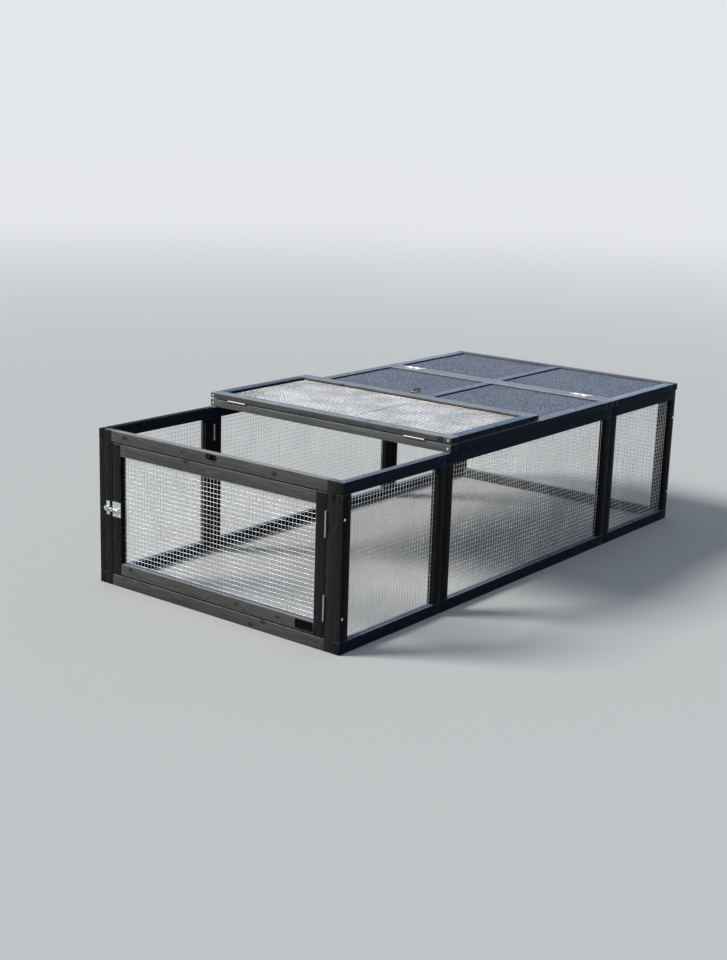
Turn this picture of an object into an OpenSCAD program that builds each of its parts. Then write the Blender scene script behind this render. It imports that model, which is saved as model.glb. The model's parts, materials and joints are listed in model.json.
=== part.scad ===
// Outdoor rabbit run: a low timber and wire-mesh enclosure that stands on the grass.
// Two end frames carry two side walls, each hinged together from three panels. A felted
// roof is fixed over the middle bay, a mesh lid covers the front bay and a felted lid
// covers the rear bay. A door fills the front frame.
// X runs across the run, Y from the door end (-Y) to the rear (+Y), Z up from the ground.
// The origin is on the ground, in the middle of the whole object's box.

/* [Run] */
// Width over the two side walls
run_width = 890; // [760:5:1100]
// Length over the two end frames
run_length = 1812; // [1560:4:2200]
// Height of the walls, from the ground to the top of the top rails
wall_height = 455; // [400:5:560]
// Length of the front bay and of the rear bay, from an end to the middle of the seam
end_bay_length = 446; // [380:2:520]

/* [Timber] */
// Face width of the rails and stiles
timber_face = 33; // [26:1:44]
// Thickness of the rails and stiles
timber_thick = 22; // [20:1:30]
// Face width of the stiles of the two end frames
end_stile_face = 30; // [26:1:44]
// Face width of the front frame's top rail
front_top_rail = 31; // [26:1:44]

/* [Wire mesh] */
// Square of the coarse net that stands for the fine welded mesh
net_pitch = 72; // [60:2:120]
// Width of the bars of the coarse net
net_bar = 2; // [1:0.5:4]
// Thickness of the mesh, two crossed wires
net_thick = 2; // [1:0.5:4]
// Depth of the grooves that hold the mesh and the roof boards
groove_depth = 8; // [5:1:10]
// Clearance in a groove, on each face and at the edge
groove_clear = 0.3; // [0.2:0.1:0.6]

/* [Roof] */
// How far the roof and the lids stand out past the walls
roof_overhang = 3; // [0:1:8]
// How far the roof's front edge lies behind the middle of the front seam
roof_setback = 12; // [4:1:20]
// How far the closed mesh lid's free edge lies behind the front of the run
mesh_lid_setback = 3; // [0:1:8]
// Thickness of the roof boards
board_thick = 6; // [4:0.5:8]
// How far the roof's centre bar lies to the left of the middle of the run
roof_bar_shift = 7.5; // [0:0.5:20]
// How far the rear lid's centre bar lies to the left of the middle of the run
rear_bar_shift = 14.5; // [0:0.5:20]
// Thickness of the mesh lid's timbers
mesh_lid_thick = 15; // [13:0.5:22]
// Face width of the mesh lid's rail at its hinges
mesh_lid_hinge_rail = 38; // [30:1:50]
// Face width of the mesh lid's rail at its free edge
mesh_lid_free_rail = 47; // [30:1:60]
// Depth of the felt's surface below the roof timbers
felt_recess = 4; // [2:0.5:9]
// Thickness of the roofing felt
felt_thick = 2.5; // [1.5:0.5:4]
// Gap between the felt's edge and the timbers round it
felt_gap = 0.5; // [0.3:0.1:2]
// Half the distance between a lid's two hinges
lid_hinge_offset = 332; // [200:2:350]
// How far a lid's two hinges sit to the left of the middle of the run
lid_hinge_shift = 7; // [0:1:20]

/* [Door] */
// Gap above and below the door
door_end_gap = 4.5; // [2:0.5:6]
// Height of the two door hinges above and below the door's middle
door_hinge_offset = 112; // [60:2:150]
// Width of the blank plate on the door's bottom rail
plate_width = 60; // [30:1:80]
// Height of the blank plate
plate_height = 25; // [15:1:25]
// Thickness of the blank plate
plate_thick = 0.8; // [0.5:0.1:2]
// Gap between the blank plate and the door's stile
plate_gap = 2; // [1:1:20]

/* [Hinges] */
// Length of a door or lid hinge
hinge_length = 70; // [50:5:90]
// Length of a seam hinge
seam_hinge_length = 50; // [40:5:80]
// Thickness of a hinge leaf
leaf_thick = 1; // [0.8:0.1:1.1]
// Distance from a door or seam hinge's axis to the face that a leaf is screwed to
hinge_seat = 1.25; // [1.2:0.05:1.6]
// Distance from a lid hinge's axis to the face that a leaf is screwed to
lid_hinge_seat = 2.45; // [2.2:0.05:2.5]
// Radius of the hinge knuckle
knuckle_radius = 2.5; // [2.2:0.1:3]
// Radius of the hinge pin
hinge_pin_radius = 1.25; // [1:0.05:1.3]
// Width of a lid hinge's leaf from the axis
lid_leaf_width = 25; // [15:1:30]
// Depth of a door or seam hinge's leaf behind the face of the timber
edge_leaf_depth = 18; // [10:1:19]
// Height of the seam hinges above and below the middle of the wall
seam_hinge_offset = 150; // [60:2:154]

/* [Door bolt] */
// Radius of the bolt
bolt_radius = 3; // [2.5:0.1:3.5]
// Width of the bolt's plate across the door stile
bolt_plate_width = 32; // [30:0.5:33]
// Height of the bolt's plate
bolt_plate_height = 44; // [36:1:60]
// Thickness of the bolt's plate and of its keeper's foot
bolt_plate_thick = 1.5; // [1:0.1:2]
// Width of the guides and of the keeper, along the bolt
guide_width = 5; // [4:0.5:6]
// Width of the keeper along the bolt
keeper_width = 13; // [10:0.5:15]
// Height of the keeper's foot
keeper_height = 40; // [34:1:60]
// How far the shot bolt reaches past the keeper
bolt_reach = 3; // [1:0.5:6]
// Radius of the bolt's knob
knob_radius = 2.3; // [2:0.1:2.6]
// Length of the knob from the bolt's axis
knob_length = 9; // [7:0.5:14]

/* [Hasp] */
// Distance of the hasp from the middle of the run
hasp_offset = 8; // [0:1:100]
// Width of the hasp's strap
strap_width = 26; // [20:1:40]
// Length of the strap from its pin
strap_length = 24; // [23:0.5:30]
// Thickness of the strap
strap_thick = 1.5; // [1:0.1:2]
// Radius of the hasp's knuckle
hasp_knuckle_radius = 2.2; // [1.8:0.1:2.3]
// Radius of the hasp's pin
hasp_pin_radius = 1; // [0.7:0.1:1.1]
// How far the strap leans outward from its locked position, with the lid folded back
strap_lean = 60; // [0:5:80]
// Length of the staple's oval plate
staple_plate_length = 40; // [34:1:60]
// Height of the staple's oval plate
staple_plate_height = 14; // [13:0.5:18]
// Radius of the staple's wire
staple_wire_radius = 1.3; // [1:0.1:1.5]
// Height of the staple over its two legs
staple_height = 11; // [10:0.5:12]

/* [Screws] */
// Radius of a wood screw's head
screw_head_radius = 3.6; // [3:0.1:4.5]
// Height of a wood screw's head
screw_head_height = 1; // [0.5:0.1:1.2]
// Radius of a wood screw's shank
screw_radius = 2; // [1.5:0.1:2.5]
// Depth that a screw bites into the second timber
screw_bite = 20; // [12:1:30]
// Distance of the corner screws from the end of the run
corner_screw_inset = 8; // [6:1:11]
// Height of the corner screws above and below the middle of the wall
corner_screw_offset = 131; // [60:1:160]
// Distance of the roof frame's screws from its side edge
roof_screw_inset = 10; // [7:1:14]
// Distance of the roof's fixing screws from the middle of the roof
fixing_screw_offset = 219; // [100:1:380]

/* [Hidden] */
$fn = 48;
// Running fits: pin in knuckle, screw in bore, bolt in guide
pin_fit = 0.05;
screw_fit = 0.05;
bolt_fit = 0.08;
// Gaps beside a knuckle: along the axis, and round it to the next leaf
knuckle_gap = 0.3;
// Thin cuts run past a face by this much
past = 1;
knuckle_count = 5;
// Overlap that joins two shapes of one piece
weld = 0.5;
// How far a pin stands out of its hinge, both ends together
pin_proud = 1;
// Sunk screw heads lie this far below the timber
screw_sink = 0.2;
// Room between a timber's corner and the circle that a knuckle and its gap take
corner_room = 0.1;

// Distance from a hinge axis along a timber's face to its corner, at which a knuckle clears it
function corner_distance(seat) =
    sqrt(max(0, pow(knuckle_radius + knuckle_gap, 2) - pow(seat, 2))) + corner_room;

// Gap that two leaves and their play need between two timbers
hinge_gap = 2 * hinge_seat;
// Gap between two roof frames, where a knuckle dips between them
roof_gap = 2 * corner_distance(lid_hinge_seat);
// Edge hinges stand proud: their knuckle clears the corners of the timbers
edge_hinge_proud = corner_distance(hinge_seat);
edge_leaf_width = edge_hinge_proud + edge_leaf_depth;

// Front furniture: its reach in front of the door sets the middle of the object's box
bolt_wall = 1.5;
bolt_standoff = bolt_plate_thick + bolt_wall + bolt_radius;
front_reach = bolt_standoff + knob_length;

// Stations along Y
front_y = (front_reach - run_length - roof_overhang - screw_head_height) / 2;
rear_y = front_y + run_length;
seam_front_y = front_y + end_bay_length;
seam_rear_y = rear_y - end_bay_length;
rear_hinge_setback = 0.75;
roof_y = seam_front_y + roof_setback;
mesh_hinge_y = roof_y - roof_gap / 2;
mesh_lid_y = front_y + mesh_lid_setback;
mesh_lid_length = mesh_hinge_y - roof_gap / 2 - mesh_lid_y;
rear_hinge_y = seam_rear_y - rear_hinge_setback;
roof_length = rear_hinge_y - roof_gap / 2 - roof_y;
rear_lid_y = rear_hinge_y + roof_gap / 2;
rear_lid_length = rear_y + roof_overhang - rear_lid_y;

// Stations along Z
roof_top = wall_height + timber_thick;
lid_axis_z = roof_top + lid_hinge_seat;
timber_middle = timber_thick / 2;
board_top = roof_top - felt_recess - felt_thick;

// Stations along X
wall_x = run_width / 2;
wall_inner_x = wall_x - timber_thick;
roof_width = run_width + 2 * roof_overhang;

// Side panels, from seam to seam, less the gap for the seam hinges
end_panel_length = end_bay_length - hinge_gap / 2;
middle_panel_length = run_length - 2 * end_bay_length - hinge_gap;

// End frames and door
end_frame_width = 2 * wall_inner_x;
door_width = end_frame_width - 2 * end_stile_face - 2 * hinge_gap;
door_height = wall_height - timber_face - front_top_rail - 2 * door_end_gap;
door_x = -door_width / 2;
door_z = timber_face + door_end_gap;
door_middle_z = door_z + door_height / 2;
door_axis_x = door_width / 2 + hinge_seat;
door_axis_y = front_y - edge_hinge_proud;

// Door bolt, on the latch stile at mid height
bolt_plate_x = door_x + (timber_face - bolt_plate_width) / 2;
bolt_y = front_y - bolt_standoff;
guide_height = 2 * (bolt_radius + 2 * bolt_wall);
guide_reach = bolt_standoff + bolt_radius + bolt_wall - bolt_plate_thick;
knob_play = 0.2;
knob_x = bolt_plate_x + guide_width + knob_radius + knob_play;
keeper_inset = 9;
keeper_left_x = door_x - hinge_gap - keeper_inset - keeper_width;
bolt_tip_x = keeper_left_x - bolt_reach;
bolt_tail = 2;
bolt_tail_x = bolt_plate_x + bolt_plate_width + bolt_tail;

// Hasp on the mesh lid's free edge, in the lid's closed position
hasp_x = -hasp_offset;
hasp_plate_thick = 1;
hasp_plate_drop = 2;
strap_set = strap_thick;
strap_end_radius = 8;
hasp_axis_rise = 4;
hasp_axis_reach = 1;
hasp_axis_z = wall_height + hasp_axis_rise;
hasp_axis_y = front_y - hasp_axis_reach;
slot_side_clear = 1.7;
slot_end_clear = 1;
slot_width = 2 * (staple_wire_radius + slot_side_clear);
slot_end = 3;
staple_z = hasp_axis_z - strap_length + slot_end + staple_height / 2 + slot_end_clear;
staple_plate_thick = 1.5;
staple_reach = 9;

// Screws
screw_through = timber_thick;

wood = [0.10, 0.10, 0.11];
galvanised = [0.74, 0.76, 0.78];
zinc = [0.82, 0.84, 0.84];
felt_grey = [0.42, 0.46, 0.52];
black_metal = [0.05, 0.05, 0.05];
board_brown = [0.16, 0.14, 0.13];

// ---- Timber frames -------------------------------------------------------------------
// A frame is drawn as seen from outside: width along X, height along Z, its outer face
// at y = 0 and its thickness along +Y. "through" says which members run full length.
// "rail" is the face width of both level members, or a pair: of the lower, of the upper.
function lower(rail) = is_list(rail) ? rail[0] : rail;
function upper(rail) = is_list(rail) ? rail[1] : rail;

// The two upright members
module stile_pair(width, height, stile, rail, through, thick = timber_thick) {
    foot = through == "rails" ? lower(rail) : 0;
    head = through == "rails" ? upper(rail) : 0;
    for (x = [0, width - stile])
        translate([x, 0, foot]) cube([stile, thick, height - foot - head]);
}

// The two level members
module rail_pair(width, height, stile, rail, through, thick = timber_thick) {
    start = through == "rails" ? 0 : stile;
    length = width - 2 * start;
    translate([start, 0, 0]) cube([length, thick, lower(rail)]);
    translate([start, 0, height - upper(rail)]) cube([length, thick, upper(rail)]);
}

// The space that the mesh and its play take in the grooves
module mesh_groove(width, height, stile, rail, thick = timber_thick) {
    translate([stile - groove_depth, thick / 2 - net_thick / 2 - groove_clear,
               lower(rail) - groove_depth])
        cube([width - 2 * stile + 2 * groove_depth, net_thick + 2 * groove_clear,
              height - lower(rail) - upper(rail) + 2 * groove_depth]);
}

// The mesh: an even net over the opening, with a selvedge that fills the grooves
module mesh_net(width, height, stile, rail, thick = timber_thick) {
    open_width = width - 2 * stile;
    open_height = height - lower(rail) - upper(rail);
    selvedge = groove_depth - groove_clear;
    columns = max(1, floor(open_width / net_pitch));
    rows = max(1, floor(open_height / net_pitch));
    gap_width = (open_width - (columns - 1) * net_bar) / columns;
    gap_height = (open_height - (rows - 1) * net_bar) / rows;
    translate([stile, thick / 2 + net_thick / 2, lower(rail)]) rotate([90, 0, 0])
        linear_extrude(height = net_thick) difference() {
            translate([-selvedge, -selvedge])
                square([open_width + 2 * selvedge, open_height + 2 * selvedge]);
            for (column = [0 : columns - 1], row = [0 : rows - 1])
                translate([column * (gap_width + net_bar), row * (gap_height + net_bar)])
                    square([gap_width, gap_height]);
        }
}

// ---- Places --------------------------------------------------------------------------
// Side walls: the right wall is built, the left wall is its mirror image
module on_right_wall(y) { translate([wall_x, y, 0]) rotate([0, 0, 90]) children(); }
module on_both_walls() {
    children();
    mirror([1, 0, 0]) children();
}
module on_front() { translate([-wall_inner_x, front_y, 0]) children(); }
module on_rear() { translate([-wall_inner_x, rear_y, 0]) mirror([0, 1, 0]) children(); }
module on_door() { translate([door_x, front_y, door_z]) children(); }
// A roof frame lies flat: its outer face is up and its height runs along Y
module on_roof(y) { translate([-roof_width / 2, y, roof_top]) rotate([-90, 0, 0]) children(); }
// The mesh lid is drawn closed and folded back about its hinge, onto the roof
module folded_back() {
    translate([0, mesh_hinge_y, lid_axis_z]) rotate([180, 0, 0])
        translate([0, -mesh_hinge_y, -lid_axis_z]) children();
}

// ---- Screws --------------------------------------------------------------------------
// A screw points down: the underside of its head is at z = 0
module wood_screw(depth) {
    cylinder(r = screw_head_radius, h = screw_head_height);
    translate([0, 0, -depth]) cylinder(r = screw_radius, h = depth + screw_head_height / 2);
}
module screw_bore(depth) {
    translate([0, 0, -depth - past]) cylinder(r = screw_radius + screw_fit, h = depth + 2 * past);
    cylinder(r = screw_head_radius + screw_fit, h = screw_head_height + past);
}

// Corner screws: through the side wall's end stile, into the edge of the end frame's stile
module at_corner_screws() {
    for (y = [front_y + corner_screw_inset, rear_y - corner_screw_inset],
         z = [wall_height / 2 - corner_screw_offset, wall_height / 2 + corner_screw_offset])
        translate([wall_x, y, z]) rotate([0, 90, 0]) children();
}
// Top screws of the front bay, sunk flush: down through the top rail into the stiles
module at_bay_screws() {
    for (y = [front_y + timber_face / 2, front_y + end_panel_length - timber_face / 2])
        translate([wall_x - timber_middle, y, wall_height - screw_head_height - screw_sink])
            children();
}
// Fixing screws: down through the roof's side rails into the walls' top rails
module at_fixing_screws() {
    roof_middle_y = roof_y + roof_length / 2;
    for (y = [roof_middle_y - fixing_screw_offset, roof_middle_y + fixing_screw_offset])
        translate([wall_x - timber_middle, y, roof_top]) children();
}
// Frame screws of a roof frame: through its cross rails into the ends of its side rails
module at_roof_frame_screws(y, length, thick = timber_thick) {
    for (x = [roof_screw_inset, roof_width - roof_screw_inset]) {
        translate([x - roof_width / 2, y, roof_top - thick / 2]) rotate([90, 0, 0]) children();
        translate([x - roof_width / 2, y + length, roof_top - thick / 2])
            rotate([-90, 0, 0]) children();
    }
}

corner_screw_depth = screw_through + screw_bite;
frame_screw_depth = timber_face + screw_bite;
fixing_screw_depth = timber_thick + screw_bite;
mesh_lid_screw_depth = max(mesh_lid_hinge_rail, mesh_lid_free_rail) + screw_bite;

module corner_screw_bores() { on_both_walls() at_corner_screws() screw_bore(corner_screw_depth); }
module wall_top_bores() {
    at_bay_screws() screw_bore(frame_screw_depth);
    at_fixing_screws() screw_bore(fixing_screw_depth);
}

// ---- Front and rear frames -----------------------------------------------------------
module front_stiles() {
    color(wood) difference() {
        on_front() stile_pair(end_frame_width, wall_height, end_stile_face, timber_face, "stiles");
        corner_screw_bores();
    }
}
module front_rails() {
    color(wood) on_front()
        rail_pair(end_frame_width, wall_height, end_stile_face, [timber_face, front_top_rail],
                  "stiles");
}
module rear_stiles() {
    color(wood) difference() {
        on_rear() difference() {
            stile_pair(end_frame_width, wall_height, end_stile_face, timber_face, "stiles");
            mesh_groove(end_frame_width, wall_height, end_stile_face, timber_face);
        }
        corner_screw_bores();
    }
}
module rear_rails() {
    color(wood) on_rear() difference() {
        rail_pair(end_frame_width, wall_height, end_stile_face, timber_face, "stiles");
        mesh_groove(end_frame_width, wall_height, end_stile_face, timber_face);
    }
}
module rear_mesh() {
    color(galvanised) on_rear()
        mesh_net(end_frame_width, wall_height, end_stile_face, timber_face);
}

// ---- Side walls ----------------------------------------------------------------------
module wall_stiles(y, length) {
    difference() {
        on_right_wall(y) difference() {
            stile_pair(length, wall_height, timber_face, timber_face, "rails");
            mesh_groove(length, wall_height, timber_face, timber_face);
        }
        at_corner_screws() screw_bore(corner_screw_depth);
        at_bay_screws() screw_bore(frame_screw_depth);
    }
}
module wall_rails(y, length) {
    difference() {
        on_right_wall(y) difference() {
            rail_pair(length, wall_height, timber_face, timber_face, "rails");
            mesh_groove(length, wall_height, timber_face, timber_face);
        }
        wall_top_bores();
    }
}
module wall_mesh(y, length) {
    on_right_wall(y) mesh_net(length, wall_height, timber_face, timber_face);
}

middle_panel_y = seam_front_y + hinge_gap / 2;
rear_panel_y = seam_rear_y + hinge_gap / 2;

module right_front_stiles() { color(wood) wall_stiles(front_y, end_panel_length); }
module right_front_rails() { color(wood) wall_rails(front_y, end_panel_length); }
module right_front_mesh() { color(galvanised) wall_mesh(front_y, end_panel_length); }
module right_middle_stiles() { color(wood) wall_stiles(middle_panel_y, middle_panel_length); }
module right_middle_rails() { color(wood) wall_rails(middle_panel_y, middle_panel_length); }
module right_middle_mesh() { color(galvanised) wall_mesh(middle_panel_y, middle_panel_length); }
module right_rear_stiles() { color(wood) wall_stiles(rear_panel_y, end_panel_length); }
module right_rear_rails() { color(wood) wall_rails(rear_panel_y, end_panel_length); }
module right_rear_mesh() { color(galvanised) wall_mesh(rear_panel_y, end_panel_length); }
module left_front_stiles() { mirror([1, 0, 0]) right_front_stiles(); }
module left_front_rails() { mirror([1, 0, 0]) right_front_rails(); }
module left_front_mesh() { mirror([1, 0, 0]) right_front_mesh(); }
module left_middle_stiles() { mirror([1, 0, 0]) right_middle_stiles(); }
module left_middle_rails() { mirror([1, 0, 0]) right_middle_rails(); }
module left_middle_mesh() { mirror([1, 0, 0]) right_middle_mesh(); }
module left_rear_stiles() { mirror([1, 0, 0]) right_rear_stiles(); }
module left_rear_rails() { mirror([1, 0, 0]) right_rear_rails(); }
module left_rear_mesh() { mirror([1, 0, 0]) right_rear_mesh(); }

// ---- Roof and rear lid ---------------------------------------------------------------
// A felted frame's centre bar lies "shift" to the left of the middle. Between the bar and
// the side rails are two openings: each entry has its left edge and its width.
function openings(shift) = [
    [timber_face - roof_width / 2, (roof_width - 3 * timber_face) / 2 - shift],
    [timber_face / 2 - shift, (roof_width - 3 * timber_face) / 2 + shift],
];

// The space of the roof boards, or with their play when it is their grooves
module board_block(length, shift, play) {
    reach = groove_depth - groove_clear + play;
    for (opening = openings(shift))
        translate([opening[0] - reach, timber_face - reach, board_top - board_thick - play])
            cube([opening[1] + 2 * reach, length - 2 * timber_face + 2 * reach,
                  board_thick + 2 * play]);
}
module felted_cross_rails(y, length, shift) {
    difference() {
        on_roof(y) rail_pair(roof_width, length, timber_face, timber_face, "rails");
        translate([0, y, 0]) board_block(length, shift, groove_clear);
        at_roof_frame_screws(y, length) screw_bore(frame_screw_depth);
    }
}
module felted_side_rails(y, length, shift) {
    difference() {
        on_roof(y) stile_pair(roof_width, length, timber_face, timber_face, "rails");
        translate([0, y, 0]) board_block(length, shift, groove_clear);
        at_roof_frame_screws(y, length) screw_bore(frame_screw_depth);
        on_both_walls() at_fixing_screws() screw_bore(fixing_screw_depth);
    }
}
module felted_centre_bar(y, length, shift) {
    difference() {
        translate([-timber_face / 2 - shift, y + timber_face, wall_height])
            cube([timber_face, length - 2 * timber_face, timber_thick]);
        translate([0, y, 0]) board_block(length, shift, groove_clear);
    }
}
module boards(y, length, shift) { translate([0, y, 0]) board_block(length, shift, 0); }
module felt_sheets(y, length, shift) {
    for (opening = openings(shift))
        translate([opening[0] + felt_gap, y + timber_face + felt_gap, board_top])
            cube([opening[1] - 2 * felt_gap, length - 2 * timber_face - 2 * felt_gap,
                  felt_thick]);
}

module roof_cross_rails() { color(wood) felted_cross_rails(roof_y, roof_length, roof_bar_shift); }
module roof_side_rails() { color(wood) felted_side_rails(roof_y, roof_length, roof_bar_shift); }
module roof_centre_bar() { color(wood) felted_centre_bar(roof_y, roof_length, roof_bar_shift); }
module roof_boards() { color(board_brown) boards(roof_y, roof_length, roof_bar_shift); }
module roof_felt() { color(felt_grey) felt_sheets(roof_y, roof_length, roof_bar_shift); }
module rear_lid_cross_rails() {
    color(wood) felted_cross_rails(rear_lid_y, rear_lid_length, rear_bar_shift);
}
module rear_lid_side_rails() {
    color(wood) felted_side_rails(rear_lid_y, rear_lid_length, rear_bar_shift);
}
module rear_lid_centre_bar() {
    color(wood) felted_centre_bar(rear_lid_y, rear_lid_length, rear_bar_shift);
}
module rear_lid_boards() {
    color(board_brown) boards(rear_lid_y, rear_lid_length, rear_bar_shift);
}
module rear_lid_felt() {
    color(felt_grey) felt_sheets(rear_lid_y, rear_lid_length, rear_bar_shift);
}

// ---- Mesh lid ------------------------------------------------------------------------
mesh_lid_rails = [mesh_lid_free_rail, mesh_lid_hinge_rail];

module mesh_lid_groove() {
    mesh_groove(roof_width, mesh_lid_length, timber_face, mesh_lid_rails, mesh_lid_thick);
}
module at_mesh_lid_screws() {
    at_roof_frame_screws(mesh_lid_y, mesh_lid_length, mesh_lid_thick) children();
}
module mesh_lid_cross_rails() {
    color(wood) folded_back() difference() {
        on_roof(mesh_lid_y) difference() {
            rail_pair(roof_width, mesh_lid_length, timber_face, mesh_lid_rails, "rails",
                      mesh_lid_thick);
            mesh_lid_groove();
        }
        at_mesh_lid_screws() screw_bore(mesh_lid_screw_depth);
    }
}
module mesh_lid_side_rails() {
    color(wood) folded_back() difference() {
        on_roof(mesh_lid_y) difference() {
            stile_pair(roof_width, mesh_lid_length, timber_face, mesh_lid_rails, "rails",
                       mesh_lid_thick);
            mesh_lid_groove();
        }
        at_mesh_lid_screws() screw_bore(mesh_lid_screw_depth);
    }
}
module mesh_lid_mesh() {
    color(galvanised) folded_back() on_roof(mesh_lid_y)
        mesh_net(roof_width, mesh_lid_length, timber_face, mesh_lid_rails, mesh_lid_thick);
}

// ---- Door ----------------------------------------------------------------------------
module door_stiles() {
    color(wood) on_door() difference() {
        stile_pair(door_width, door_height, timber_face, timber_face, "stiles");
        mesh_groove(door_width, door_height, timber_face, timber_face);
    }
}
module door_rails() {
    color(wood) on_door() difference() {
        rail_pair(door_width, door_height, timber_face, timber_face, "stiles");
        mesh_groove(door_width, door_height, timber_face, timber_face);
    }
}
module door_mesh() {
    color(galvanised) on_door() mesh_net(door_width, door_height, timber_face, timber_face);
}
// A blank plate at the hinge end of the bottom rail
module door_plate() {
    color(black_metal)
        translate([door_width / 2 - timber_face - plate_gap - plate_width,
                   front_y - plate_thick, door_z + (timber_face - plate_height) / 2])
            cube([plate_width, plate_thick, plate_height]);
}

// ---- Butt hinges ---------------------------------------------------------------------
// Drawn with the axis along X: the leaf runs along +Y and is screwed to a face at
// z = -seat. The fixed leaf has the odd knuckles, the moving leaf the even ones.
module hinge_leaf(width, fixed, seat, length = hinge_length) {
    segment = length / knuckle_count;
    edge = knuckle_radius + knuckle_gap;
    difference() {
        union() {
            translate([-length / 2, edge, -seat])
                cube([length, width - edge, leaf_thick]);
            for (k = [fixed ? 0 : 1 : 2 : knuckle_count - 1])
                translate([-length / 2 + k * segment + knuckle_gap / 2, 0, 0]) {
                    rotate([0, 90, 0]) cylinder(r = knuckle_radius, h = segment - knuckle_gap);
                    translate([0, 0, -seat])
                        cube([segment - knuckle_gap, edge + weld, leaf_thick]);
                }
        }
        rotate([0, 90, 0])
            cylinder(r = hinge_pin_radius + pin_fit, h = length + 2 * past, center = true);
    }
}
module hinge_pin(length = hinge_length) {
    rotate([0, 90, 0]) cylinder(r = hinge_pin_radius, h = length + pin_proud, center = true);
}

module at_lid_hinges(y) {
    for (side = [-1, 1])
        translate([side * lid_hinge_offset - lid_hinge_shift, y, lid_axis_z]) children();
}
module at_door_hinges() {
    for (side = [-1, 1])
        translate([door_axis_x, door_axis_y, door_middle_z + side * door_hinge_offset]) children();
}
// Seam hinges: their knuckles stand inside the run, their leaves lie in the seams
module at_seam_hinges() {
    on_both_walls() for (y = [seam_front_y, seam_rear_y], side = [-1, 1])
        translate([wall_inner_x - edge_hinge_proud, y,
                   wall_height / 2 + side * seam_hinge_offset])
            rotate([0, 0, -90]) children();
}
// Upright hinges: a leaf on the +X face of the gap, or on its -X face
module leaf_on_plus_x(fixed, length = hinge_length) {
    rotate([0, -90, 0]) hinge_leaf(edge_leaf_width, fixed, hinge_seat, length);
}
module leaf_on_minus_x(fixed, length = hinge_length) {
    rotate([0, 90, 0]) hinge_leaf(edge_leaf_width, fixed, hinge_seat, length);
}
// Lid hinges: a leaf on the timber behind the axis
module lid_leaf(fixed) { hinge_leaf(lid_leaf_width, fixed, lid_hinge_seat); }

module roof_hinge_leaves() {
    color(galvanised) {
        at_lid_hinges(mesh_hinge_y) lid_leaf(true);
        at_lid_hinges(rear_hinge_y) mirror([0, 1, 0]) lid_leaf(true);
    }
}
module mesh_lid_hinge_leaves() {
    color(galvanised) folded_back() at_lid_hinges(mesh_hinge_y)
        mirror([0, 1, 0]) lid_leaf(false);
}
module rear_lid_hinge_leaves() {
    color(galvanised) at_lid_hinges(rear_hinge_y) lid_leaf(false);
}
module door_post_hinge_leaves() { color(galvanised) at_door_hinges() leaf_on_plus_x(true); }
module door_hinge_leaves() { color(galvanised) at_door_hinges() leaf_on_minus_x(false); }
module seam_hinge_leaves() {
    color(galvanised) at_seam_hinges() {
        leaf_on_plus_x(true, seam_hinge_length);
        leaf_on_minus_x(false, seam_hinge_length);
    }
}
module hinge_pins() {
    color(galvanised) {
        at_lid_hinges(mesh_hinge_y) hinge_pin();
        at_lid_hinges(rear_hinge_y) hinge_pin();
        at_door_hinges() rotate([0, 90, 0]) hinge_pin();
        at_seam_hinges() rotate([0, 90, 0]) hinge_pin(seam_hinge_length);
    }
}

// ---- Door bolt -----------------------------------------------------------------------
// A guide or a keeper: a bridge over the bolt, standing on a foot
module bolt_bridge(x, width) {
    difference() {
        translate([x, front_y - bolt_plate_thick - guide_reach, door_middle_z - guide_height / 2])
            cube([width, guide_reach + bolt_plate_thick / 2, guide_height]);
        translate([x - past, bolt_y, door_middle_z]) rotate([0, 90, 0])
            cylinder(r = bolt_radius + bolt_fit, h = width + 2 * past);
    }
}
module bolt_foot(x, width, height) {
    translate([x, front_y - bolt_plate_thick, door_middle_z - height / 2])
        cube([width, bolt_plate_thick, height]);
}
module bolt_plate() {
    color(zinc) {
        bolt_foot(bolt_plate_x, bolt_plate_width, bolt_plate_height);
        for (x = [bolt_plate_x, bolt_plate_x + bolt_plate_width - guide_width])
            bolt_bridge(x, guide_width);
    }
}
module bolt_keeper() {
    color(zinc) {
        bolt_foot(keeper_left_x, keeper_width, keeper_height);
        bolt_bridge(keeper_left_x, keeper_width);
    }
}
module bolt_rod() {
    color(zinc) {
        translate([bolt_tip_x, bolt_y, door_middle_z]) rotate([0, 90, 0])
            cylinder(r = bolt_radius, h = bolt_tail_x - bolt_tip_x);
        translate([knob_x, bolt_y, door_middle_z]) rotate([90, 0, 0])
            cylinder(r = knob_radius, h = knob_length);
    }
}

// ---- Hasp and staple -----------------------------------------------------------------
// Drawn closed: the plate on the lid's front edge, the strap hanging over the staple
module hasp_knuckle(x, length) {
    translate([hasp_x + x, hasp_axis_y, hasp_axis_z]) rotate([0, 90, 0])
        cylinder(r = hasp_knuckle_radius, h = length);
}
module hasp_bore() {
    translate([hasp_x, hasp_axis_y, hasp_axis_z]) rotate([0, 90, 0])
        cylinder(r = hasp_pin_radius + pin_fit, h = strap_width + 2 * past, center = true);
}
hasp_segment = strap_width / 3;

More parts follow.
